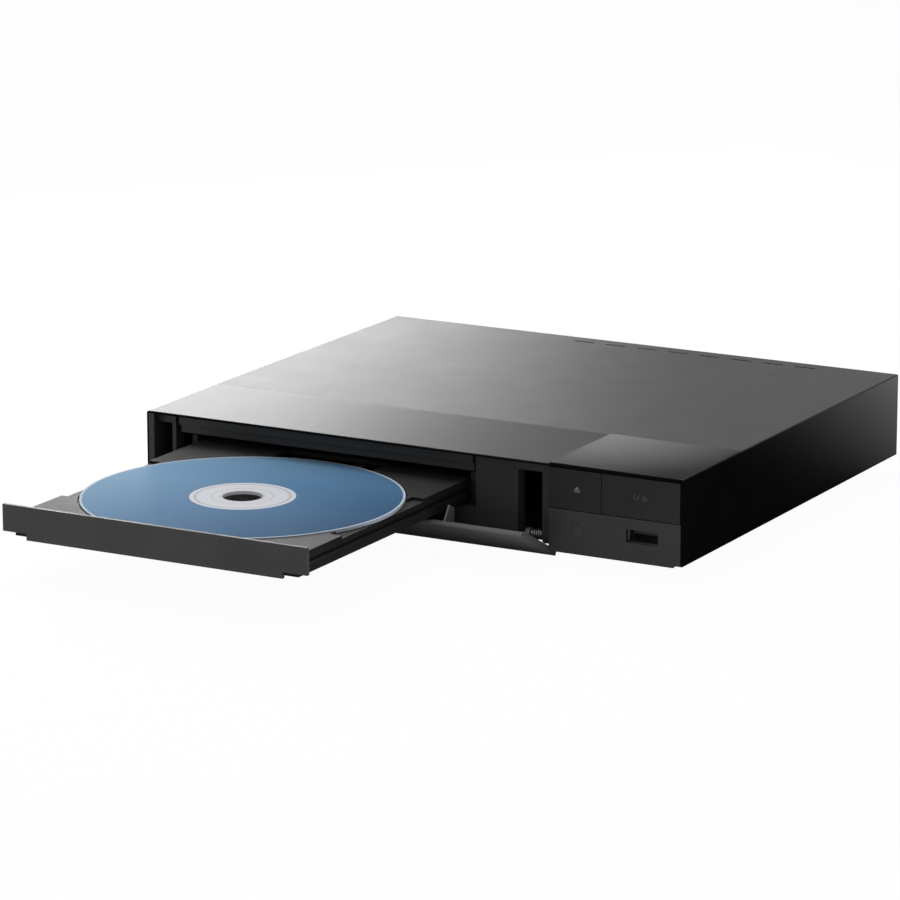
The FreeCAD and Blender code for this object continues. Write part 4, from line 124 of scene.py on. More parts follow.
class Graph:
    """The node graph of one material, with short calls that add and join nodes."""

    def __init__(self, name: str) -> None:
        """Start the material with its own shader."""
        self.material = bpy.data.materials.new(name)
        self.material.use_nodes = True
        self.tree = self.material.node_tree
        self.shader = self.tree.nodes["Principled BSDF"]
        self.place = self.add("ShaderNodeTexCoord").outputs["Object"]

    def add(self, kind: str, **settings: object) -> bpy.types.Node:
        """Add a node.

        Args:
            kind: the node's type name.
            settings: properties of the node.

        Returns:
            The new node.
        """
        node = self.tree.nodes.new(kind)
        for name, value in settings.items():
            setattr(node, name, value)
        return node

    def join(self, source: Socket, target: Socket) -> None:
        """Join an output to an input."""
        self.tree.links.new(source, target)

    def set(self, name: str, value: object) -> None:
        """Set one of the shader's own sockets."""
        self.shader.inputs[name].default_value = value

    def stretched(self, scale: Corner) -> Socket:
        """Return the place on the piece, stretched along each axis."""
        mapping = self.add("ShaderNodeMapping")
        mapping.inputs["Scale"].default_value = scale
        self.join(self.place, mapping.inputs["Vector"])
        return mapping.outputs["Vector"]

    def noise(self, size: float, detail: float = 3.0, scale: Corner = (1.0, 1.0, 1.0)) -> Socket:
        """Return a soft random pattern.

        Args:
            size: the size of its patches, in metres.
            detail: how much finer detail it has.
            scale: how it is stretched along each axis.

        Returns:
            The pattern's socket.
        """
        texture = self.add("ShaderNodeTexNoise")
        texture.inputs["Scale"].default_value = 1.0 / size
        texture.inputs["Detail"].default_value = detail
        self.join(self.stretched(scale), texture.inputs["Vector"])
        return texture.outputs[0]

    def remap(self, source: Socket, low: float, high: float, start: float, end: float) -> Socket:
        """Carry a value from one range to another.

        Args:
            source: the value.
            low: where its range starts.
            high: where its range ends.
            start: what low becomes.
            end: what high becomes.

        Returns:
            The new value's socket.
        """
        node = self.add("ShaderNodeMapRange")
        for name, value in (("From Min", low), ("From Max", high), ("To Min", start), ("To Max", end)):
            node.inputs[name].default_value = value
        self.join(source, node.inputs["Value"])
        return node.outputs["Result"]

    def ramp(self, source: Socket, stops: list[tuple[float, Colour]], constant: bool = False) -> Socket:
        """Turn a value into a colour.

        Args:
            source: the value.
            stops: the colours with their places from 0 to 1.
            constant: whether each colour holds until the next stop.

        Returns:
            The colour's socket.
        """
        node = self.add("ShaderNodeValToRGB")
        band = node.color_ramp
        band.interpolation = "CONSTANT" if constant else "LINEAR"
        while len(band.elements) < len(stops):
            band.elements.new(1.0)
        for element, (place, colour) in zip(band.elements, stops):
            element.position = place
            element.color = (*colour, 1.0)
        self.join(source, node.inputs["Fac"])
        return node.outputs["Color"]

    def mix(self, share: Socket, first: Socket, second: Socket) -> Socket:
        """Mix two colours by a share."""
        node = self.add("ShaderNodeMix", data_type="RGBA")
        self.join(share, node.inputs["Factor"])
        self.join(first, node.inputs[MIX_FIRST])
        self.join(second, node.inputs[MIX_SECOND])
        return node.outputs[MIX_RESULT]

    def sums(self, kind: str, first: Socket, second: Socket | float) -> Socket:
        """Combine two values.

        Args:
            kind: the name of the operation.
            first: the first value.
            second: the second value, as a socket or a number.

        Returns:
            The result's socket.
        """
        node = self.add("ShaderNodeMath", operation=kind)
        self.join(first, node.inputs[0])
        if isinstance(second, Socket):
            self.join(second, node.inputs[1])
        else:
            node.inputs[1].default_value = second
        return node.outputs[0]

    def axes(self, source: Socket) -> bpy.types.Node:
        """Return a node that splits a place or a direction into its axes."""
        node = self.add("ShaderNodeSeparateXYZ")
        self.join(source, node.inputs["Vector"])
        return node

    def upward(self) -> Socket:
        """Return how far the surface of the piece faces up, from -1 to 1."""
        return self.axes(self.add("ShaderNodeTexCoord").outputs["Normal"]).outputs["Z"]

    def mottled(self, patches: Socket, colour: Colour, mottle: float) -> Socket:
        """Return a colour that is a little darker and lighter in patches.

        Args:
            patches: the pattern of the patches.
            colour: the middle colour.
            mottle: the share by which it varies.

        Returns:
            The colour's socket.
        """
        dark = tuple(level * (1 - mottle) for level in colour)
        light = tuple(min(level * (1 + mottle), 1.0) for level in colour)
        return self.ramp(patches, list(zip(PATCH_STOPS, (dark, light))))

    def from_centre(self, centre: Point) -> Socket:
        """Return the level way from an upright axis to the place on the piece."""
        moved = self.add("ShaderNodeVectorMath", operation="SUBTRACT")
        self.join(self.place, moved.inputs[0])
        moved.inputs[1].default_value = (*centre, 0.0)
        flat = self.add("ShaderNodeVectorMath", operation="MULTIPLY")
        self.join(moved.outputs[0], flat.inputs[0])
        flat.inputs[1].default_value = (1.0, 1.0, 0.0)
        return flat.outputs[0]

    def distance(self, centre: Point) -> Socket:
        """Return the distance from an upright axis."""
        length = self.add("ShaderNodeVectorMath", operation="LENGTH")
        self.join(self.from_centre(centre), length.inputs[0])
        return length.outputs["Value"]

    def relief(self, height: Socket, depth: float, edge: float) -> None:
        """Give the shader a fine relief and softened edges.

        Args:
            height: the relief's pattern.
            depth: how deep it goes.
            edge: the radius at which edges catch the light.
        """
        if depth == 0.0:
            return
        bump = self.add("ShaderNodeBump")
        bump.inputs["Distance"].default_value = depth
        self.join(height, bump.inputs["Height"])
        if edge > 0.0:
            bevel = self.add("ShaderNodeBevel", samples=4)
            bevel.inputs["Radius"].default_value = edge
            self.join(bevel.outputs["Normal"], bump.inputs["Normal"])
        self.join(bump.outputs["Normal"], self.shader.inputs["Normal"])


@dataclass(frozen=True)
class Finish:
    """A plain finish: colour, gloss and a fine relief, each a little uneven.

    Attributes:
        name: the material's name.
        colour: the middle colour.
        roughness: the middle roughness.
        specular: the strength of plain reflections.
        metallic: 1 for bare metal.
        mottle: the share by which the colour varies.
        patch: the size of the colour's patches.
        grain: how the relief runs.
        grain_size: the size of the relief's grains.
        depth: the depth of the relief.
        edge: the radius at which edges catch the light.
        coat: the weight of a clear coat.
        unevenness: the share by which the roughness varies.
    """

    name: str
    colour: Colour
    roughness: float
    specular: float = 0.35
    metallic: float = 0.0
    mottle: float = 0.12
    patch: float = 0.018
    grain: Grain = Grain.SPECKLE
    grain_size: float = 0.0005
    depth: float = 0.000012
    edge: float = 0.0
    coat: float = 0.0
    unevenness: float = 0.12
    made: ClassVar[dict[str, bpy.types.Material]] = {}

    def material(self) -> bpy.types.Material:
        """Return the material, made once."""
        if self.name not in self.made:
            graph = Graph(self.name)
            self.fill(graph)
            self.made[self.name] = graph.material
        return self.made[self.name]

    def fill(self, graph: Graph) -> None:
        """Fill the material's graph."""
        self.constants(graph)
        patches = graph.noise(self.patch)
        graph.join(self.tint(graph, patches), graph.shader.inputs["Base Color"])
        grains = graph.noise(self.grain_size, GRAIN_DETAIL, self.grain.value)
        uneven = graph.sums("ADD", patches, graph.sums("MULTIPLY", grains, GRAIN_SHARE))
        low, high = self.roughness * (1 - self.unevenness), self.roughness * (1 + self.unevenness)
        graph.join(graph.remap(uneven, *UNEVEN_SPAN, low, high), graph.shader.inputs["Roughness"])
        graph.relief(grains, self.depth, self.edge)

    def constants(self, graph: Graph) -> None:
        """Set what is the same all over the surface."""
        graph.set("Specular IOR Level", self.specular)
        graph.set("Metallic", self.metallic)
        graph.set("Coat Weight", self.coat)

    def tint(self, graph: Graph, patches: Socket) -> Socket:
        """Return the colour, a little darker and lighter in patches."""
        return graph.mottled(patches, self.colour, self.mottle)


@dataclass(frozen=True)
class CoverPaint(Finish):
    """The sheet's textured paint, smoother on the sloping front strip and flatter on the upright sides.

    Attributes:
        strip_back: where the front strip ends.
        strip_roughness: the strip's middle roughness.
        strip_specular: the strength of plain reflections on the strip.
        side_front: the lower front end of the upright sides, across the depth and up.
        side_back: their upper rear end.
        side_shares: how much of the sheen of the sides the way back and the way up give.
        side_bend: how late that sheen sets in.
        strip_blend: half the width over which the strip's gloss turns into the lid's.
        pattern_span: the lowest and highest sum of the patches and the grains.
        gloss_span: the factors on the roughness that these give.
    """

    strip_back: float = 0.0
    strip_roughness: float = 0.3
    strip_specular: float = 0.05
    side_front: Point = (0.0, 0.0)
    side_back: Point = (1.0, 1.0)
    side_shares: Point = (0.7, 0.23)
    side_bend: float = 8.0
    strip_blend: float = 0.0002
    pattern_span: Point = (0.6, 1.4)
    gloss_span: Point = (0.94, 1.06)

    def fill(self, graph: Graph) -> None:
        """Fill the graph, with the roughness chosen by the place along the depth."""
        self.constants(graph)
        patches = graph.noise(self.patch)
        graph.join(self.tint(graph, patches), graph.shader.inputs["Base Color"])
        grains = graph.noise(self.grain_size, GRAIN_DETAIL, self.grain.value)
        place = graph.axes(graph.place)
        start, end = self.strip_back - self.strip_blend, self.strip_back + self.strip_blend
        middle = graph.remap(place.outputs["Y"], start, end, self.strip_roughness, self.roughness)
        uneven = graph.remap(graph.sums("ADD", patches, grains), *self.pattern_span, *self.gloss_span)
        graph.join(graph.sums("MULTIPLY", middle, uneven), graph.shader.inputs["Roughness"])
        upright = graph.remap(graph.upward(), *STEEP_TO_LEVEL, 1.0, 0.0)
        side = graph.sums("MULTIPLY", self.side_sheen(graph, place), upright)
        sheen = graph.remap(place.outputs["Y"], start, end, self.strip_specular, self.specular)
        level = graph.sums("MULTIPLY", sheen, graph.remap(upright, 0.0, 1.0, 1.0, 0.0))
        graph.join(graph.sums("ADD", side, level), graph.shader.inputs["Specular IOR Level"])
        graph.relief(grains, self.depth, self.edge)

    def side_sheen(self, graph: Graph, place: bpy.types.Node) -> Socket:
        """Return the strength of reflections on the upright sides, which grows to the rear and the top.

        Args:
            graph: the material's graph.
            place: the node that splits the place on the piece into its axes.

        Returns:
            The strength's socket.
        """
        depth_share, height_share = self.side_shares
        along = graph.remap(place.outputs["Y"], self.side_front[0], self.side_back[0], 0.0, depth_share)
        upward = graph.remap(place.outputs["Z"], self.side_front[1], self.side_back[1], 0.0, height_share)
        return graph.sums("POWER", graph.sums("ADD", along, upward), self.side_bend)


@dataclass(frozen=True)
class PaintedLightPlastic(Finish):
    """Moulded plastic whose upper faces get a lighter colour as painted light from above, fading into painted
    shade at one end.

    Attributes:
        painted_top_light: the lighter colour of the faces that look up, painted light from above.
        painted_shade_centre: the middle of the end in painted shade, in X and Y.
        painted_shade_reach: how far the painted shade holds, and where the painted light is full.
        painted_shade_share: how much of the painted light is left there.
    """

    painted_top_light: Colour = (0.0, 0.0, 0.0)
    painted_shade_centre: Point = (0.0, 0.0)
    painted_shade_reach: Point = (0.05, 0.125)
    painted_shade_share: float = 0.2

    def tint(self, graph: Graph, patches: Socket) -> Socket:
        """Return the colour, with painted light on the faces that look up and painted shade near one end."""
        # The faces that look up are painted lighter, as light from above; near the case's mouth this fades as
        # painted shade.
        upward = graph.remap(graph.upward(), *SLOPING_TO_LEVEL, 0.0, 1.0)
        painted_light_left = graph.remap(graph.distance(self.painted_shade_centre), *self.painted_shade_reach, self.painted_shade_share, 1.0)
        share = graph.sums("MULTIPLY", upward, painted_light_left)
        painted_light_colour = graph.mottled(patches, self.painted_top_light, self.mottle)
        return graph.mix(share, super().tint(graph, patches), painted_light_colour)


@dataclass(frozen=True)
class CornerGloss(Finish):
    """The smooth corner plate, whose sheen fades away from its inner corner.

    Attributes:
        apex: the inner corner in X and Y.
        reach: how far the sheen reaches.
        faded: the strength of plain reflections where it has faded.
        bend: how soon it fades.
    """

    apex: Point = (0.0, 0.0)
    reach: float = 0.06
    faded: float = 0.01
    bend: float = 2.7

    def fill(self, graph: Graph) -> None:
        """Fill the graph, with the gloss chosen by the distance from the inner corner."""
        super().fill(graph)
        near = graph.remap(graph.distance(self.apex), 0.0, self.reach, 1.0, 0.0)
        sheen = graph.remap(graph.sums("POWER", near, self.bend), 0.0, 1.0, self.faded, self.specular)
        graph.join(sheen, graph.shader.inputs["Specular IOR Level"])


@dataclass(frozen=True)
class DiscLabel(Finish):
    """The disc: a clear hub, a printed label whose colour runs light to dark from side to side by print and a
    painted reflection, a clear rim and a mirror underside with painted rainbow wedges.

    Attributes:
        centre: the disc's centre in X and Y.
        middle: the label's colour at its middle.
        shaded: the label's colour at its darker side.
        hub: the colour of the clear middle over the tray.
        rim: the colour of the clear rim.
        mirror: the colour of the underside.
        radius: the disc's radius.
        slant: the level way in which the label, with its painted reflection, grows darker.
        wave_size: the size of the soft waves in its shade.
        wave_depth: how far they shift the shade.
        printed_span: where the label starts and ends, as shares of the radius.
        data_span: where the mirror layer starts and ends.
        below_gloss: the roughness and the metallic share of the underside.
        ring_shades: how much darker the hub's inner part and its lines are than the rest.
        ring_lines: where the inner part ends and the two lines start and end, as shares of the radius.
        rim_start: where the clear rim's colour starts.
        painted_rainbow_shift: the factors that tint the wedges of the mirror layer with a painted rainbow
            reflection.
        wedge_places: where the wedges' colours lie on a turn.
    """

    centre: Point = (0.0, 0.0)
    middle: Colour = (0.0, 0.0, 0.0)
    shaded: Colour = (0.0, 0.0, 0.0)
    hub: Colour = (0.0, 0.0, 0.0)
    rim: Colour = (0.0, 0.0, 0.0)
    mirror: Colour = (0.0, 0.0, 0.0)
    radius: float = 0.06
    slant: Point = (0.85, -0.4)
    printed_span: Point = (0.325, 0.984)
    data_span: Point = (0.36, 0.975)
    below_gloss: Point = (0.12, 0.85)
    wave_size: float = 0.03
    wave_depth: float = 0.03
    ring_shades: Point = (0.9, 0.72)
    ring_lines: tuple[float, ...] = (0.145, 0.185, 0.192, 0.283, 0.3)
    rim_start: float = 0.9
    painted_rainbow_shift: Corner = (1.2, 1.15, 0.85)
    wedge_places: tuple[float, ...] = (0.0, 0.2, 0.35, 0.6, 0.8, 1.0)

    def fill(self, graph: Graph) -> None:
        """Fill the graph with rings round the centre."""
        self.constants(graph)
        place = graph.from_centre(self.centre)
        share = graph.remap(graph.distance(self.centre), 0.0, self.radius, 0.0, 1.0)
        print_and_reflection = self.printed(graph, place)
        rings = self.rings(graph, share)
        top = graph.mix(self.within(graph, share, self.printed_span), rings, print_and_reflection)
        below = graph.remap(graph.upward(), *UNDER_TO_SIDE, 1.0, 0.0)
        colour = graph.mix(below, top, self.underside(graph, share, place))
        graph.join(colour, graph.shader.inputs["Base Color"])
        smooth, mirrored = self.below_gloss
        graph.join(graph.remap(below, 0.0, 1.0, self.roughness, smooth), graph.shader.inputs["Roughness"])
        graph.join(graph.sums("MULTIPLY", below, mirrored), graph.shader.inputs["Metallic"])
        graph.relief(graph.noise(self.grain_size, GRAIN_DETAIL), self.depth, self.edge)

    def within(self, graph: Graph, share: Socket, span: Point) -> Socket:
        """Return white between two shares of the radius and black elsewhere."""
        stops = [(0.0, grey(0.0)), (span[0], grey(1.0)), (span[1], grey(0.0))]
        return graph.ramp(share, stops, constant=True)

    def printed(self, graph: Graph, place: Socket) -> Socket:
        """Return the label's print with a painted reflection, running lighter to darker slantwise across the
        disc.
        """
        # The slantwise run from light to dark is partly the label's print and partly a painted reflection of
        # the light from the rear left.
        slant = graph.add("ShaderNodeVectorMath", operation="DOT_PRODUCT")
        graph.join(place, slant.inputs[0])
        slant.inputs[1].default_value = (*self.slant, 0.0)
        across = graph.remap(slant.outputs["Value"], -self.radius, self.radius, 0.0, 1.0)
        shift = graph.remap(graph.noise(self.wave_size), *PATCH_STOPS, -self.wave_depth, self.wave_depth)
        wavy = graph.sums("ADD", across, shift)
        return graph.ramp(wavy, [(0.0, self.colour), (0.5, self.middle), (1.0, self.shaded)])

    def rings(self, graph: Graph, share: Socket) -> Socket:
        """Return the clear middle with its moulded rings, and the clear rim."""
        faint, line = (tuple(level * shade for level in self.hub) for shade in self.ring_shades)
        stops = [(0.0, faint), *zip(self.ring_lines, (self.hub, line, self.hub, line, self.hub))]
        return graph.ramp(share, [*stops, (self.rim_start, self.rim)], constant=True)

    def underside(self, graph: Graph, share: Socket, place: Socket) -> Socket:
        """Return the data side's colour, with a painted rainbow reflection in soft wedges round the hub."""
        # The pink and green wedges are a painted rainbow reflection laid on the mirror layer's colour.
        turned = graph.add("ShaderNodeTexGradient", gradient_type="RADIAL")
        graph.join(place, turned.inputs["Vector"])
        red, leaf, blue = self.mirror
        more_red, more_green, less = self.painted_rainbow_shift
        pink, green = (red * more_red, leaf * less, blue), (red * less, leaf * more_green, blue)
        wedges = (self.mirror, pink, self.mirror, green, self.mirror, self.mirror)
        tinted = graph.ramp(turned.outputs["Color"], list(zip(self.wedge_places, wedges)))
        clear = graph.ramp(share, [(0.0, self.hub), (1.0, self.rim)])
        return graph.mix(self.within(graph, share, self.data_span), clear, tinted)


@dataclass(frozen=True)
class CircuitBoard(Finish):
    """Solder mask with tracks and pads.

    Attributes:
        track: the colour of tracks under the mask.
        pad: the colour of bare pads.
        cell: the distance between tracks.
        track_edge: where a track turns into the mask, in shares of a cell.
        pad_edge: where a pad turns into the mask.
    """

    track: Colour = (0.0, 0.0, 0.0)
    pad: Colour = (0.0, 0.0, 0.0)
    cell: float = 0.004
    track_edge: Point = (0.03, 0.05)
    pad_edge: Point = (0.12, 0.14)

    def fill(self, graph: Graph) -> None:
        """Fill the graph with the mask, its tracks and its pads."""
        self.constants(graph)
        graph.set("Roughness", self.roughness)
        edges = graph.add("ShaderNodeTexVoronoi", feature="DISTANCE_TO_EDGE")
        spots = graph.add("ShaderNodeTexVoronoi", feature="F1", distance="CHEBYCHEV")
        for texture in (edges, spots):
            texture.inputs["Scale"].default_value = 1.0 / self.cell
            graph.join(graph.place, texture.inputs["Vector"])
        mask = self.tint(graph, graph.noise(self.patch))
        on_track = graph.remap(edges.outputs["Distance"], *self.track_edge, 1.0, 0.0)
        on_pad = graph.remap(spots.outputs["Distance"], *self.pad_edge, 1.0, 0.0)
        tracks = graph.ramp(graph.noise(self.patch), [(0.0, self.track), (1.0, self.track)])
        pads = graph.ramp(graph.noise(self.patch), [(0.0, self.pad), (1.0, self.pad)])
        colour = graph.mix(on_pad, graph.mix(on_track, mask, tracks), pads)
        graph.join(colour, graph.shader.inputs["Base Color"])
        graph.relief(graph.sums("ADD", on_track, on_pad), self.depth, self.edge)


@dataclass(frozen=True)
class FlatCable(Finish):
    """A flat cable with its conductors showing as stripes.

    Attributes:
        stripe: the colour over a conductor.
        pitch: the distance between conductors.
        across: the axis that the stripes follow one another along.
        stripe_edges: where a stripe starts to show on the wave, and where it is full.
        wave_pitch: how the pattern's scale relates to the distance between its stripes.
    """

    stripe: Colour = (0.0, 0.0, 0.0)
    pitch: float = 0.001
    across: str = "Y"
    stripe_edges: Point = (0.35, 0.65)
    wave_pitch: ClassVar[float] = 3.2

    def fill(self, graph: Graph) -> None:
        """Fill the graph with stripes."""
        self.constants(graph)
        graph.set("Roughness", self.roughness)
        wave = graph.add("ShaderNodeTexWave", bands_direction=self.across)
        wave.inputs["Scale"].default_value = 1.0 / (self.pitch * self.wave_pitch)
        wave.inputs["Distortion"].default_value = 0.0
        graph.join(graph.place, wave.inputs["Vector"])
        colour = graph.ramp(wave.outputs["Fac"], list(zip(self.stripe_edges, (self.colour, self.stripe))))
        graph.join(colour, graph.shader.inputs["Base Color"])
        graph.relief(wave.outputs["Fac"], self.depth, self.edge)


@dataclass(frozen=True)
class Glassy(Finish):
    """A clear or smoked part that lets light through.

    Attributes:
        passing: the share of light that passes.
    """

    passing: float = 0.5

    def constants(self, graph: Graph) -> None:
        """Set the shader's sockets, with the light that passes."""
        super().constants(graph)
        graph.set("Transmission Weight", self.passing)


STRIP_BACK = case_point(0.0, 50.0, 0.0).y
APEX = case_point(175.3, 50.0, 0.0)
SIDE_FRONT = case_point(230.0, 0.0, 0.0)
SIDE_BACK = case_point(230.0, 194.0, 33.0)
DISC_CENTRE = case_point(76.8, -55.0, 0.0)
MOUTH_END = case_point(125.0, 25.0, 0.0)

COVER_PAINT = CoverPaint(
    "cover_paint", grey(0.004), 0.37, specular=0.075, grain_size=0.0006, depth=0.00002, edge=0.0001,
    strip_back=STRIP_BACK, strip_roughness=0.24, strip_specular=0.022,
    side_front=(SIDE_FRONT.y, SIDE_FRONT.z), side_back=(SIDE_BACK.y, SIDE_BACK.z),
)
REAR_PAINT = Finish(
    "rear_paint", grey(0.007), 0.45, specular=0.12, grain_size=0.0006, depth=0.00002, edge=0.0001
)
CORNER_GLOSS = CornerGloss(
    "corner_gloss", grey(0.004), 0.26, specular=0.3, depth=0.0, unevenness=0.02,
    apex=(APEX.x, APEX.y), reach=0.075, faded=0.004,
)
FRONT_PLASTIC = Finish("front_plastic", grey(0.031), 0.5, specular=0.22, depth=0.00002, edge=0.00025)
KEY_PLASTIC = Finish("key_plastic", grey(0.018), 0.4, specular=0.14, depth=0.000012, edge=0.0002)
FLAP_PLASTIC = Finish("flap_plastic", grey(0.1), 0.4, specular=0.3, depth=0.00001, edge=0.0003)
BEZEL_PLASTIC = Finish("bezel_plastic", grey(0.045), 0.5, specular=0.22, depth=0.000015, edge=0.00025)
# The tray's upper faces carry painted light from above, fading to painted shade towards the case's mouth.
TRAY_PLASTIC = PaintedLightPlastic(
    "tray_plastic", grey(0.018), 0.45, specular=0.014, grain_size=0.0007, depth=0.000025, edge=0.0002,
    painted_top_light=(0.085, 0.085, 0.083), painted_shade_centre=(MOUTH_END.x, MOUTH_END.y),
)
# The label's colours hold its print together with a painted reflection, lighter towards the rear left.
DISC_LABEL = DiscLabel(
    "disc_label", (0.168, 0.29, 0.415), 0.3, specular=0.0009, depth=0.000004, middle=(0.083, 0.17, 0.285),
    centre=(DISC_CENTRE.x, DISC_CENTRE.y), shaded=(0.034, 0.08, 0.155), hub=(0.51, 0.52, 0.55),
    rim=(0.38, 0.43, 0.5), mirror=(0.42, 0.44, 0.52),
)
DARK_WINDOW = Glassy("dark_window", (0.03, 0.024, 0.025), 0.16, specular=0.25, depth=0.000002, passing=0.1)
STEEL_SHEET = Finish(
    "steel_sheet", (0.42, 0.43, 0.44), 0.38, metallic=1.0, mottle=0.08, grain=Grain.ACROSS,
    depth=0.000006, edge=0.0002,
)
SOCKET_STEEL = Finish(
    "socket_steel", (0.36, 0.36, 0.37), 0.34, metallic=1.0, mottle=0.06, grain=Grain.LENGTHWISE,
    depth=0.000004, edge=0.00015,
)
ROD_STEEL = Finish(
    "rod_steel", (0.6, 0.6, 0.61), 0.16, metallic=1.0, mottle=0.05, grain=Grain.LENGTHWISE, depth=0.000002
)
SCREW_STEEL = Finish(
    "screw_steel", (0.16, 0.16, 0.165), 0.34, metallic=1.0, mottle=0.1, grain_size=0.0003,
    depth=0.000006, edge=0.00012,
)
SPRING_STEEL = Finish(
    "spring_steel", (0.26, 0.26, 0.27), 0.3, metallic=1.0, mottle=0.08, grain_size=0.0002, depth=0.000003
)
RUBBER_BLACK = Finish("rubber_black", grey(0.02), 0.8, specular=0.25, mottle=0.2, depth=0.00003, edge=0.0004)
GEAR_PLASTIC = Finish("gear_plastic", (0.62, 0.6, 0.55), 0.4, mottle=0.06, depth=0.000008, edge=0.0001)
LOADER_PLASTIC = Finish("loader_plastic", grey(0.015), 0.5, specular=0.3, depth=0.00002, edge=0.0003)
CLAMP_PLASTIC = Finish("clamp_plastic", grey(0.03), 0.45, depth=0.000015, edge=0.0003)
MAGNET_GREY = Finish(
    "magnet_grey", (0.16, 0.16, 0.17), 0.5, metallic=0.6, mottle=0.15, depth=0.00001, edge=0.0002
)
PICKUP_CAST = Finish(
    "pickup_cast", (0.34, 0.34, 0.35), 0.52, metallic=0.8, mottle=0.15, grain_size=0.0004,
    depth=0.00002, edge=0.0003,
)
LENS_GLASS = Glassy("lens_glass", (0.5, 0.6, 0.75), 0.04, specular=0.6, depth=0.000001, passing=0.8)
BOARD_GREEN = CircuitBoard(
    "board_green", (0.008, 0.07, 0.03), 0.4, mottle=0.2, depth=0.00002, track=(0.015, 0.13, 0.055),
    pad=(0.55, 0.45, 0.22),
)
CHIP_BLACK = Finish(
    "chip_black", grey(0.018), 0.5, mottle=0.15, grain_size=0.0003, depth=0.000015, edge=0.00015
)
SINK_ALUMINIUM = Finish(
    "sink_aluminium", (0.5, 0.51, 0.52), 0.4, metallic=1.0, grain=Grain.LENGTHWISE, depth=0.00001, edge=0.0002
)
CAN_ALUMINIUM = Finish(
    "can_aluminium", (0.56, 0.57, 0.6), 0.28, metallic=1.0, mottle=0.08, grain=Grain.UPRIGHT, depth=0.000005
)
CONNECTOR_PLASTIC = Finish(
    "connector_plastic", (0.6, 0.56, 0.47), 0.45, mottle=0.08, depth=0.00001, edge=0.0002
)
RIBBON_PLASTIC = FlatCable(
    "ribbon_plastic", (0.72, 0.73, 0.74), 0.4, depth=0.00004, stripe=(0.4, 0.42, 0.44)
)
SWITCH_PLASTIC = Finish("switch_plastic", grey(0.03), 0.42, mottle=0.1, depth=0.00001, edge=0.0002)
MARK_PALE = Finish("mark_pale", grey(0.17), 0.5, mottle=0.05, grain_size=0.0003, depth=0.000004)
MARK_DIM = Finish("mark_dim", grey(0.06), 0.5, mottle=0.05, grain_size=0.0003, depth=0.000004)
CONTACT_GOLD = Finish("contact_gold", (0.75, 0.52, 0.2), 0.25, metallic=1.0, mottle=0.06, depth=0.000002)


@dataclass
class Assembly:
    """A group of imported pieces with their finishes.

    Attributes:
        frame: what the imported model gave.
    """

    frame: dict
    finishes: ClassVar[dict[str, Finish]] = {}

    def dress(self) -> None:
        """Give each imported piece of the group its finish."""
        for node, finish in self.finishes.items():
            piece = self.frame["nodes"][node]
            for index in range(len(piece.material_slots)):
                piece.material_slots[index].material = finish.material()
            LOG.info("%s dressed in %s", node, finish.name)

    def build(self) -> None:
        """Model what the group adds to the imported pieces."""

    def settle(self, piece: bpy.types.Object, body: Body, finish: Finish, slot: str) -> None:
        """Give a modelled piece its finish and body.

        Args:
            piece: the modelled piece.
            body: the body that it rides on.
            finish: its finish.
            slot: the record's material slot, which is not used.
        """
        piece.data.materials.append(finish.material())
        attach(piece, body.value)
        LOG.info("%s rides on %s", piece.name, body.value)


def mesh_piece(name: str, mesh: bmesh.types.BMesh) -> bpy.types.Object:
    """Turn a finished bmesh into an object in the scene.

    Args:
        name: the piece's name.
        mesh: its geometry, which is freed.

    Returns:
        The new object.
    """
    bmesh.ops.recalc_face_normals(mesh, faces=mesh.faces)
    data = bpy.data.meshes.new(name)
    mesh.to_mesh(data)
    mesh.free()
    piece = bpy.data.objects.new(name, data)
    bpy.context.scene.collection.objects.link(piece)
    return piece


def add_plate(mesh: bmesh.types.BMesh, outline: list[Vector], thickness: Vector) -> None:
    """Add a flat plate to a mesh.

    Args:
        mesh: the mesh that grows.
        outline: the corners of the plate's front, in order.
        thickness: the way from its front to its back.
    """
    count = len(outline)
    front = [mesh.verts.new(corner) for corner in outline]
    back = [mesh.verts.new(corner + thickness) for corner in outline]
    mesh.faces.new(front)
    mesh.faces.new(back[::-1])
    for index in range(count):
        following = (index + 1) % count
        mesh.faces.new((front[following], front[index], back[index], back[following]))


def add_bar(mesh: bmesh.types.BMesh, low: Vector, high: Vector, edge: float, lean: float = 0.0) -> None:
    """Add a bar with softened edges to a mesh.

    Args:
        mesh: the mesh that grows.
        low: the bar's lowest corner.
        high: its highest corner.
        edge: the width of its bevels.
        lean: how far its back end lies above its front end.
    """
    size = high - low
    made = bmesh.ops.create_cube(mesh, size=1.0)["verts"]
    for vert in made:
        back_share = vert.co.y + 0.5
        vert.co = Vector((vert.co.x * size.x, vert.co.y * size.y, vert.co.z * size.z)) + (low + high) / 2
        vert.co.z += lean * back_share
    edges = list({line for vert in made for line in vert.link_edges})
    bmesh.ops.bevel(mesh, geom=edges, offset=edge, segments=2, affect="EDGES", profile=0.5)


def even_offsets(count: int, pitch: float) -> tuple[float, ...]:
    """Return the places of evenly spread contacts, measured from their middle."""
    return tuple((index - (count - 1) / 2) * pitch for index in range(count))


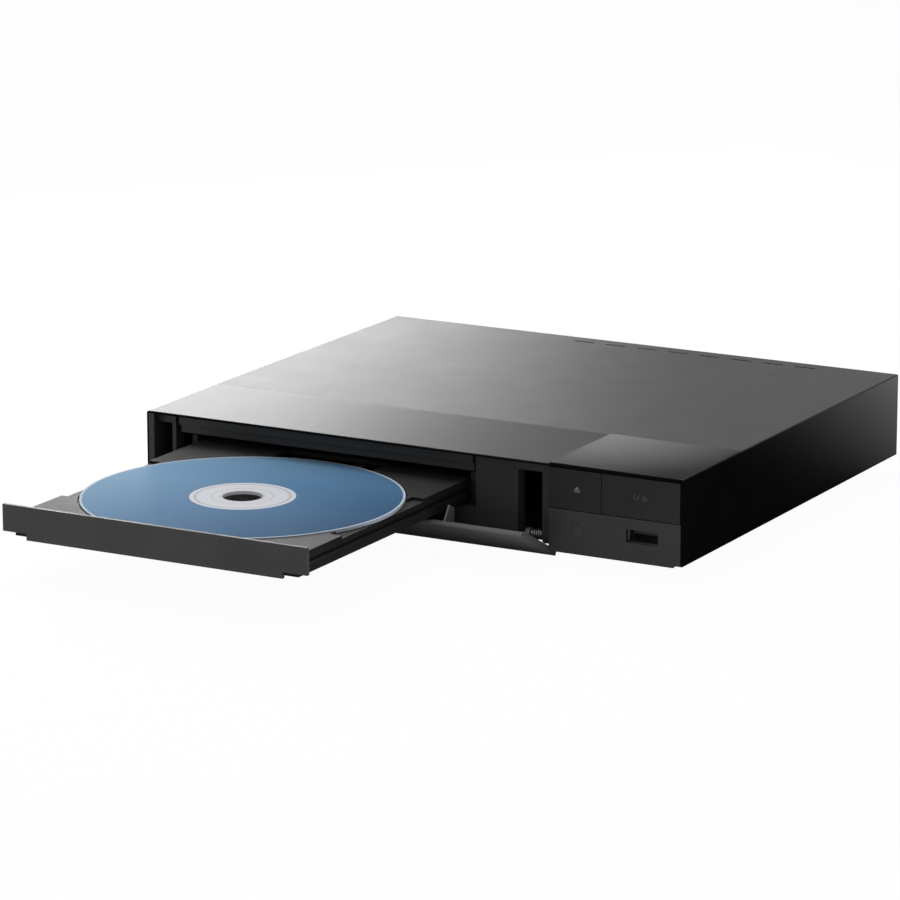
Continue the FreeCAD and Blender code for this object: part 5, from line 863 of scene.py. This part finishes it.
@dataclass(frozen=True)
class ContactRow:
    """A row of contacts in a socket, measured in the case's own millimetres.

    Attributes:
        name: the row's name.
        middle: the middle of the socket, across and up.
        offsets: how far the middle of each contact lies from it.
        half: half the width of a contact.
        reach: how deep behind the front the contacts start and end.
        rise: how far over the middle their lower and upper sides lie.
        bevel: the width of their bevels, in metres.
        lean: how much higher their rear ends lie, in metres.
    """

    name: str
    middle: Point
    offsets: tuple[float, ...]
    half: float
    reach: Point
    rise: Point
    bevel: float
    lean: float = 0.0

    def make(self) -> bpy.types.Object:
        """Return the contacts as one piece."""
        mesh = bmesh.new()
        x, z = self.middle
        for offset in self.offsets:
            low = case_point(x + offset - self.half, self.reach[0], z + self.rise[0])
            high = case_point(x + offset + self.half, self.reach[1], z + self.rise[1])
            add_bar(mesh, low, high, self.bevel, self.lean)
        return mesh_piece(self.name, mesh)


USB_ROW = ContactRow(
    "usb_contacts", (213.51, 9.0), (-3.5, -1.1, 1.1, 3.5), 0.5, (5.0, 12.0), (0.15, 0.27), 0.00003
)
NETWORK_ROW = ContactRow(
    "network_contacts", (181.68, 13.25), even_offsets(8, 1.02), 0.2, (180.5, 190.5), (-0.6, -0.3), 0.00006,
    lean=0.0032,
)
VIDEO_ROW = ContactRow(
    "video_contacts", (160.34, 10.2), even_offsets(10, 1.0), 0.22, (183.5, 191.5), (1.35, 1.45), 0.00002
)


@dataclass
class CaseShell(Assembly):
    """The lid, the corner panel, the floor, the rear, the moulded front, the feet and the rear screws."""

    finishes: ClassVar[dict[str, Finish]] = {
        "top_cover": COVER_PAINT,
        "corner_panel": CORNER_GLOSS,
        "bottom_chassis": STEEL_SHEET,
        "rear_panel": REAR_PAINT,
        "front_panel": FRONT_PLASTIC,
        "feet": RUBBER_BLACK,
        "cover_screws": SCREW_STEEL,
    }


@dataclass
class KeyBlock(Assembly):
    """The keys with their printed marks, the remote window and the front plug socket.

    Attributes:
        eject_centre: the middle of the eject mark, in the case's own millimetres.
        power_centre: the middle of the power mark.
        mark_height: how high the marks are.
        ink: how thick the marks stand on the keys.
        stroke: the width of the marks' lines.
        triangle_shares: half the width and the height of the eject mark's triangle, as shares of the height.
        bar_share: how thick its bar is, in strokes.
        line_across: how far the power mark's upright line lies from its middle.
        slash_across: the lower and upper end of its slash, measured so.
        ring_across: the middle of its open ring, measured so.
        ring_drop: how much lower and smaller the ring is than the line.
        ring_gap: half the opening of the ring, in degrees.
        ring_steps: the number of straight pieces in the ring.
    """

    eject_centre: Point = (186.8, 23.9)
    power_centre: Point = (213.0, 23.9)
    mark_height: float = 2.2
    ink: float = 0.03
    stroke: float = 0.32
    triangle_shares: Point = (0.55, 0.6)
    bar_share: float = 1.4
    line_across: float = -2.6
    slash_across: Point = (-1.9, -0.5)
    ring_across: float = 1.5
    ring_drop: float = 0.15
    ring_gap: float = 38.0
    ring_steps: int = 20
    finishes: ClassVar[dict[str, Finish]] = {
        "eject_key": KEY_PLASTIC,
        "power_key": KEY_PLASTIC,
        "remote_window": DARK_WINDOW,
        "remote_receiver": CHIP_BLACK,
        "front_board": BOARD_GREEN,
        "tact_switches": SWITCH_PLASTIC,
        "usb_socket": SOCKET_STEEL,
        "usb_tongue": CHIP_BLACK,
    }

    def build(self) -> None:
        """Print the keys' marks and add the contacts of the front socket."""
        self.settle(self.eject_mark(), Body.EJECT_KEY, MARK_PALE, "key_plastic")
        self.settle(self.power_mark(), Body.POWER_KEY, MARK_DIM, "key_plastic")
        self.settle(USB_ROW.make(), Body.CASE, CONTACT_GOLD, "socket_steel")

    def on_key(self, centre: Point, outline: list[Point]) -> list[Vector]:
        """Place an outline, drawn round a centre, just in front of the keys' face."""
        return [case_point(centre[0] + x, -self.ink, centre[1] + z) for x, z in outline]

    def eject_mark(self) -> bpy.types.Object:
        """Return the usual triangle over a bar."""
        mesh = bmesh.new()
        half, rise = (self.mark_height * share for share in self.triangle_shares)
        top = self.mark_height / 2
        base = top - rise
        bar_top = base - self.stroke
        bar_low = bar_top - self.stroke * self.bar_share
        triangle = [(-half, base), (half, base), (0.0, top)]
        bar = [(-half, bar_low), (half, bar_low), (half, bar_top), (-half, bar_top)]
        thickness = Vector((0.0, self.ink * MILLIMETRE, 0.0))
        for outline in (triangle, bar):
            add_plate(mesh, self.on_key(self.eject_centre, outline), thickness)
        return mesh_piece("eject_mark", mesh)

    def power_mark(self) -> bpy.types.Object:
        """Return the usual upright line, slash and open ring with its own line."""
        mesh = bmesh.new()
        half = self.mark_height / 2
        thickness = Vector((0.0, self.ink * MILLIMETRE, 0.0))
        strokes = [
            self.stroke_outline((self.line_across, -half), (self.line_across, half)),
            self.stroke_outline((self.slash_across[0], -half), (self.slash_across[1], half)),
            self.stroke_outline((self.ring_across, 0.0), (self.ring_across, half)),
        ]
        gap = math.radians(self.ring_gap)
        start = math.pi / 2 + gap
        step = 2 * (math.pi - gap) / self.ring_steps
        outer = half - self.ring_drop
        inner = outer - self.stroke
        for index in range(self.ring_steps):
            first = start + step * index
            turns = ((outer, first), (outer, first + step), (inner, first + step), (inner, first))
            strokes.append([self.on_ring(radius, angle) for radius, angle in turns])
        for outline in strokes:
            add_plate(mesh, self.on_key(self.power_centre, outline), thickness)
        bmesh.ops.remove_doubles(mesh, verts=mesh.verts, dist=WELD)
        return mesh_piece("power_mark", mesh)

    def stroke_outline(self, low: Point, high: Point) -> list[Point]:
        """Return the outline of a stroke from its lower to its upper end."""
        thin = self.stroke / 2
        lower = [(low[0] - thin, low[1]), (low[0] + thin, low[1])]
        return lower + [(high[0] + thin, high[1]), (high[0] - thin, high[1])]

    def on_ring(self, radius: float, angle: float) -> Point:
        """Return a point of the power mark's ring."""
        return (self.ring_across + radius * math.cos(angle), radius * math.sin(angle) - self.ring_drop)


@dataclass
class DoorFlap(Assembly):
    """The drop-down door and the spring on its pin."""

    finishes: ClassVar[dict[str, Finish]] = {"tray_door": FLAP_PLASTIC, "door_spring": SPRING_STEEL}


@dataclass
class Drawer(Assembly):
    """The tray, its front and the disc."""

    finishes: ClassVar[dict[str, Finish]] = {
        "tray": TRAY_PLASTIC,
        "tray_front": BEZEL_PLASTIC,
        "disc": DISC_LABEL,
    }


@dataclass
class Loader(Assembly):
    """The loader's frame, gears, belt, motor, cam and clamp."""

    finishes: ClassVar[dict[str, Finish]] = {
        "loader_base": LOADER_PLASTIC,
        "loader_screws": SCREW_STEEL,
        "clamp_bridge": STEEL_SHEET,
        "clamper": CLAMP_PLASTIC,
        "clamper_magnet": MAGNET_GREY,
        "loading_motor": CAN_ALUMINIUM,
        "motor_pulley": GEAR_PLASTIC,
        "drive_belt": RUBBER_BLACK,
        "pulley_gear": GEAR_PLASTIC,
        "drive_gear": GEAR_PLASTIC,
        "cam_slider": GEAR_PLASTIC,
    }


@dataclass
class Traverse(Assembly):
    """The swinging frame with the turntable, the pickup and its drive."""

    finishes: ClassVar[dict[str, Finish]] = {
        "traverse_frame": LOADER_PLASTIC,
        "damper_bushes": RUBBER_BLACK,
        "spindle_motor": CAN_ALUMINIUM,
        "turntable": CLAMP_PLASTIC,
        "optical_pickup": PICKUP_CAST,
        "objective_lens": LENS_GLASS,
        "guide_rods": ROD_STEEL,
        "sled_motor": CAN_ALUMINIUM,
        "lead_screw": ROD_STEEL,
    }


@dataclass
class Electronics(Assembly):
    """The main board with its parts, the flat cables and the rear sockets."""

    finishes: ClassVar[dict[str, Finish]] = {
        "main_board": BOARD_GREEN,
        "board_screws": SCREW_STEEL,
        "main_chip": CHIP_BLACK,
        "heat_sink": SINK_ALUMINIUM,
        "capacitors": CAN_ALUMINIUM,
        "board_connectors": CONNECTOR_PLASTIC,
        "loader_ribbon": RIBBON_PLASTIC,
        "front_ribbon": RIBBON_PLASTIC,
        "hdmi_socket": SOCKET_STEEL,
        "network_socket": SOCKET_STEEL,
        "audio_socket": CHIP_BLACK,
        "power_inlet": CHIP_BLACK,
        "wireless_board": BOARD_GREEN,
    }

    def build(self) -> None:
        """Add the contacts of the rear sockets."""
        for row in (NETWORK_ROW, VIDEO_ROW):
            self.settle(row.make(), Body.CASE, CONTACT_GOLD, "socket_steel")


@dataclass(frozen=True)
class Panel:
    """A soft light panel that faces a target.

    Attributes:
        name: its name.
        place: where its middle is.
        target: the point that it faces.
        size: its width and height.
        power: its power in watts.
        roll: how far it is turned about the way it faces, in degrees.
    """

    name: str
    place: Corner
    target: Corner
    size: Point
    power: float
    roll: float = 0.0

    def hang(self) -> None:
        """Hang the panel in the scene, unseen by the camera."""
        lamp = bpy.data.lights.new(self.name, "AREA")
        lamp.shape = "RECTANGLE"
        lamp.size, lamp.size_y = self.size
        lamp.energy = self.power
        holder = bpy.data.objects.new(self.name, lamp)
        holder.location = self.place
        facing = (Vector(self.target) - Vector(self.place)).to_track_quat("-Z", "Y").to_matrix()
        holder.rotation_euler = (facing @ Matrix.Rotation(math.radians(self.roll), 3, "Z")).to_euler()
        holder.visible_camera = False
        bpy.context.scene.collection.objects.link(holder)


BACK_PANEL = Panel("back_panel", (-0.51, 0.47, 0.115), (0.0, 0.03, 0.03), (0.78, 0.34), 6.8, roll=38.0)
TOP_PANEL = Panel("top_panel", (-0.15, 0.0, 1.1), (0.0, 0.0, 0.0), (0.9, 0.9), 8.0)


@dataclass
class Studio:
    """The floor, the light and the camera.

    Attributes:
        floor_size: the side of the floor.
        floor_drop: how far it lies under the feet.
        floor_greys: the two greys of its paper.
        floor_patch: the size of the paper's patches.
        floor_gloss: its roughness and the strength of its reflections.
        floor_white: how much of the floor's look is plain white to the camera.
        room_light: the strength of the even light from all sides.
        camera_place: where the camera stands.
        camera_right: the direction of the picture's right edge.
        camera_up: the direction of its top edge.
        focal_length: the lens, in millimetres.
        sensor_width: the width of the picture behind the lens.
        clip: the nearest and the furthest distance that it sees.
    """

    floor_size: float = 6.0
    floor_drop: float = 0.00005
    floor_greys: Point = (0.86, 0.88)
    floor_patch: float = 0.4
    floor_gloss: Point = (0.9, 0.1)
    floor_white: float = 0.965
    room_light: float = 0.45
    camera_place: Corner = (0.818725, -1.482480, 0.448054)
    camera_right: Corner = (0.874765, 0.484544, -0.001634)
    camera_up: Corner = (-0.115321, 0.211467, 0.970558)
    focal_length: float = 182.96
    sensor_width: float = 36.0
    clip: Point = (0.05, 50.0)

    def build(self) -> None:
        """Set up everything round the object."""
        self.floor()
        self.room()
        for panel in (BACK_PANEL, TOP_PANEL):
            panel.hang()
        self.camera()

    def floor(self) -> None:
        """Lay the pale floor, which the camera sees as white with a faint shadow."""
        mesh = bmesh.new()
        bmesh.ops.create_grid(mesh, x_segments=1, y_segments=1, size=self.floor_size / 2)
        floor = mesh_piece("studio_floor", mesh)
        floor.location.z = -self.floor_drop
        graph = Graph("floor_paper")
        graph.set("Roughness", self.floor_gloss[0])
        graph.set("Specular IOR Level", self.floor_gloss[1])
        stops = list(zip(PATCH_STOPS, map(grey, self.floor_greys)))
        paper = graph.ramp(graph.noise(self.floor_patch), stops)
        graph.join(paper, graph.shader.inputs["Base Color"])
        glow = graph.add("ShaderNodeEmission")
        seen = graph.add("ShaderNodeLightPath").outputs["Is Camera Ray"]
        share = graph.sums("MULTIPLY", seen, self.floor_white)
        blend = graph.add("ShaderNodeMixShader")
        graph.join(share, blend.inputs[0])
        graph.join(graph.shader.outputs[0], blend.inputs[1])
        graph.join(glow.outputs[0], blend.inputs[2])
        graph.join(blend.outputs[0], graph.tree.nodes["Material Output"].inputs["Surface"])
        floor.data.materials.append(graph.material)

    def room(self) -> None:
        """Fill the room with even light, white wherever it is seen or mirrored."""
        world = bpy.data.worlds.new("studio_room")
        world.use_nodes = True
        bpy.context.scene.world = world
        tree = world.node_tree
        back = tree.nodes["Background"]
        back.inputs["Color"].default_value = (1.0, 1.0, 1.0, 1.0)
        path = tree.nodes.new("ShaderNodeLightPath")
        seen = path.outputs["Is Camera Ray"]
        for name in ("Is Glossy Ray", "Is Transmission Ray"):
            either = tree.nodes.new("ShaderNodeMath")
            either.operation = "MAXIMUM"
            tree.links.new(seen, either.inputs[0])
            tree.links.new(path.outputs[name], either.inputs[1])
            seen = either.outputs[0]
        strength = tree.nodes.new("ShaderNodeMapRange")
        strength.inputs["To Min"].default_value = self.room_light
        strength.inputs["To Max"].default_value = 1.0
        tree.links.new(seen, strength.inputs["Value"])
        tree.links.new(strength.outputs["Result"], back.inputs["Strength"])

    def camera(self) -> None:
        """Stand the camera where the photograph was taken."""
        data = bpy.data.cameras.new("photo_camera")
        data.lens = self.focal_length
        data.sensor_width = self.sensor_width
        data.clip_start, data.clip_end = self.clip
        holder = bpy.data.objects.new("photo_camera", data)
        right = Vector(self.camera_right).normalized()
        up = Vector(self.camera_up).normalized()
        turn = Matrix((right, up, right.cross(up))).transposed().to_4x4()
        holder.matrix_world = Matrix.Translation(self.camera_place) @ turn
        bpy.context.scene.collection.objects.link(holder)
        bpy.context.scene.camera = holder


@dataclass
class Player:
    """The whole player, made of its sub-assemblies.

    Attributes:
        frame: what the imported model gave.
        kinds: the sub-assemblies, in the order they are built.
    """

    frame: dict
    kinds: list[type[Assembly]] = field(
        default_factory=lambda: [CaseShell, KeyBlock, DoorFlap, Drawer, Loader, Traverse, Electronics]
    )

    def build(self) -> None:
        """Build and dress each sub-assembly."""
        for kind in self.kinds:
            assembly = kind(self.frame)
            assembly.dress()
            assembly.build()


def main() -> None:
    """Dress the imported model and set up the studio."""
    logging.basicConfig(level=logging.INFO, format="%(name)s: %(message)s")
    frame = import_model()
    bpy.context.scene.view_settings.view_transform = "Standard"
    Player(frame).build()
    Studio().build()


if __name__ == "__main__":
    main()
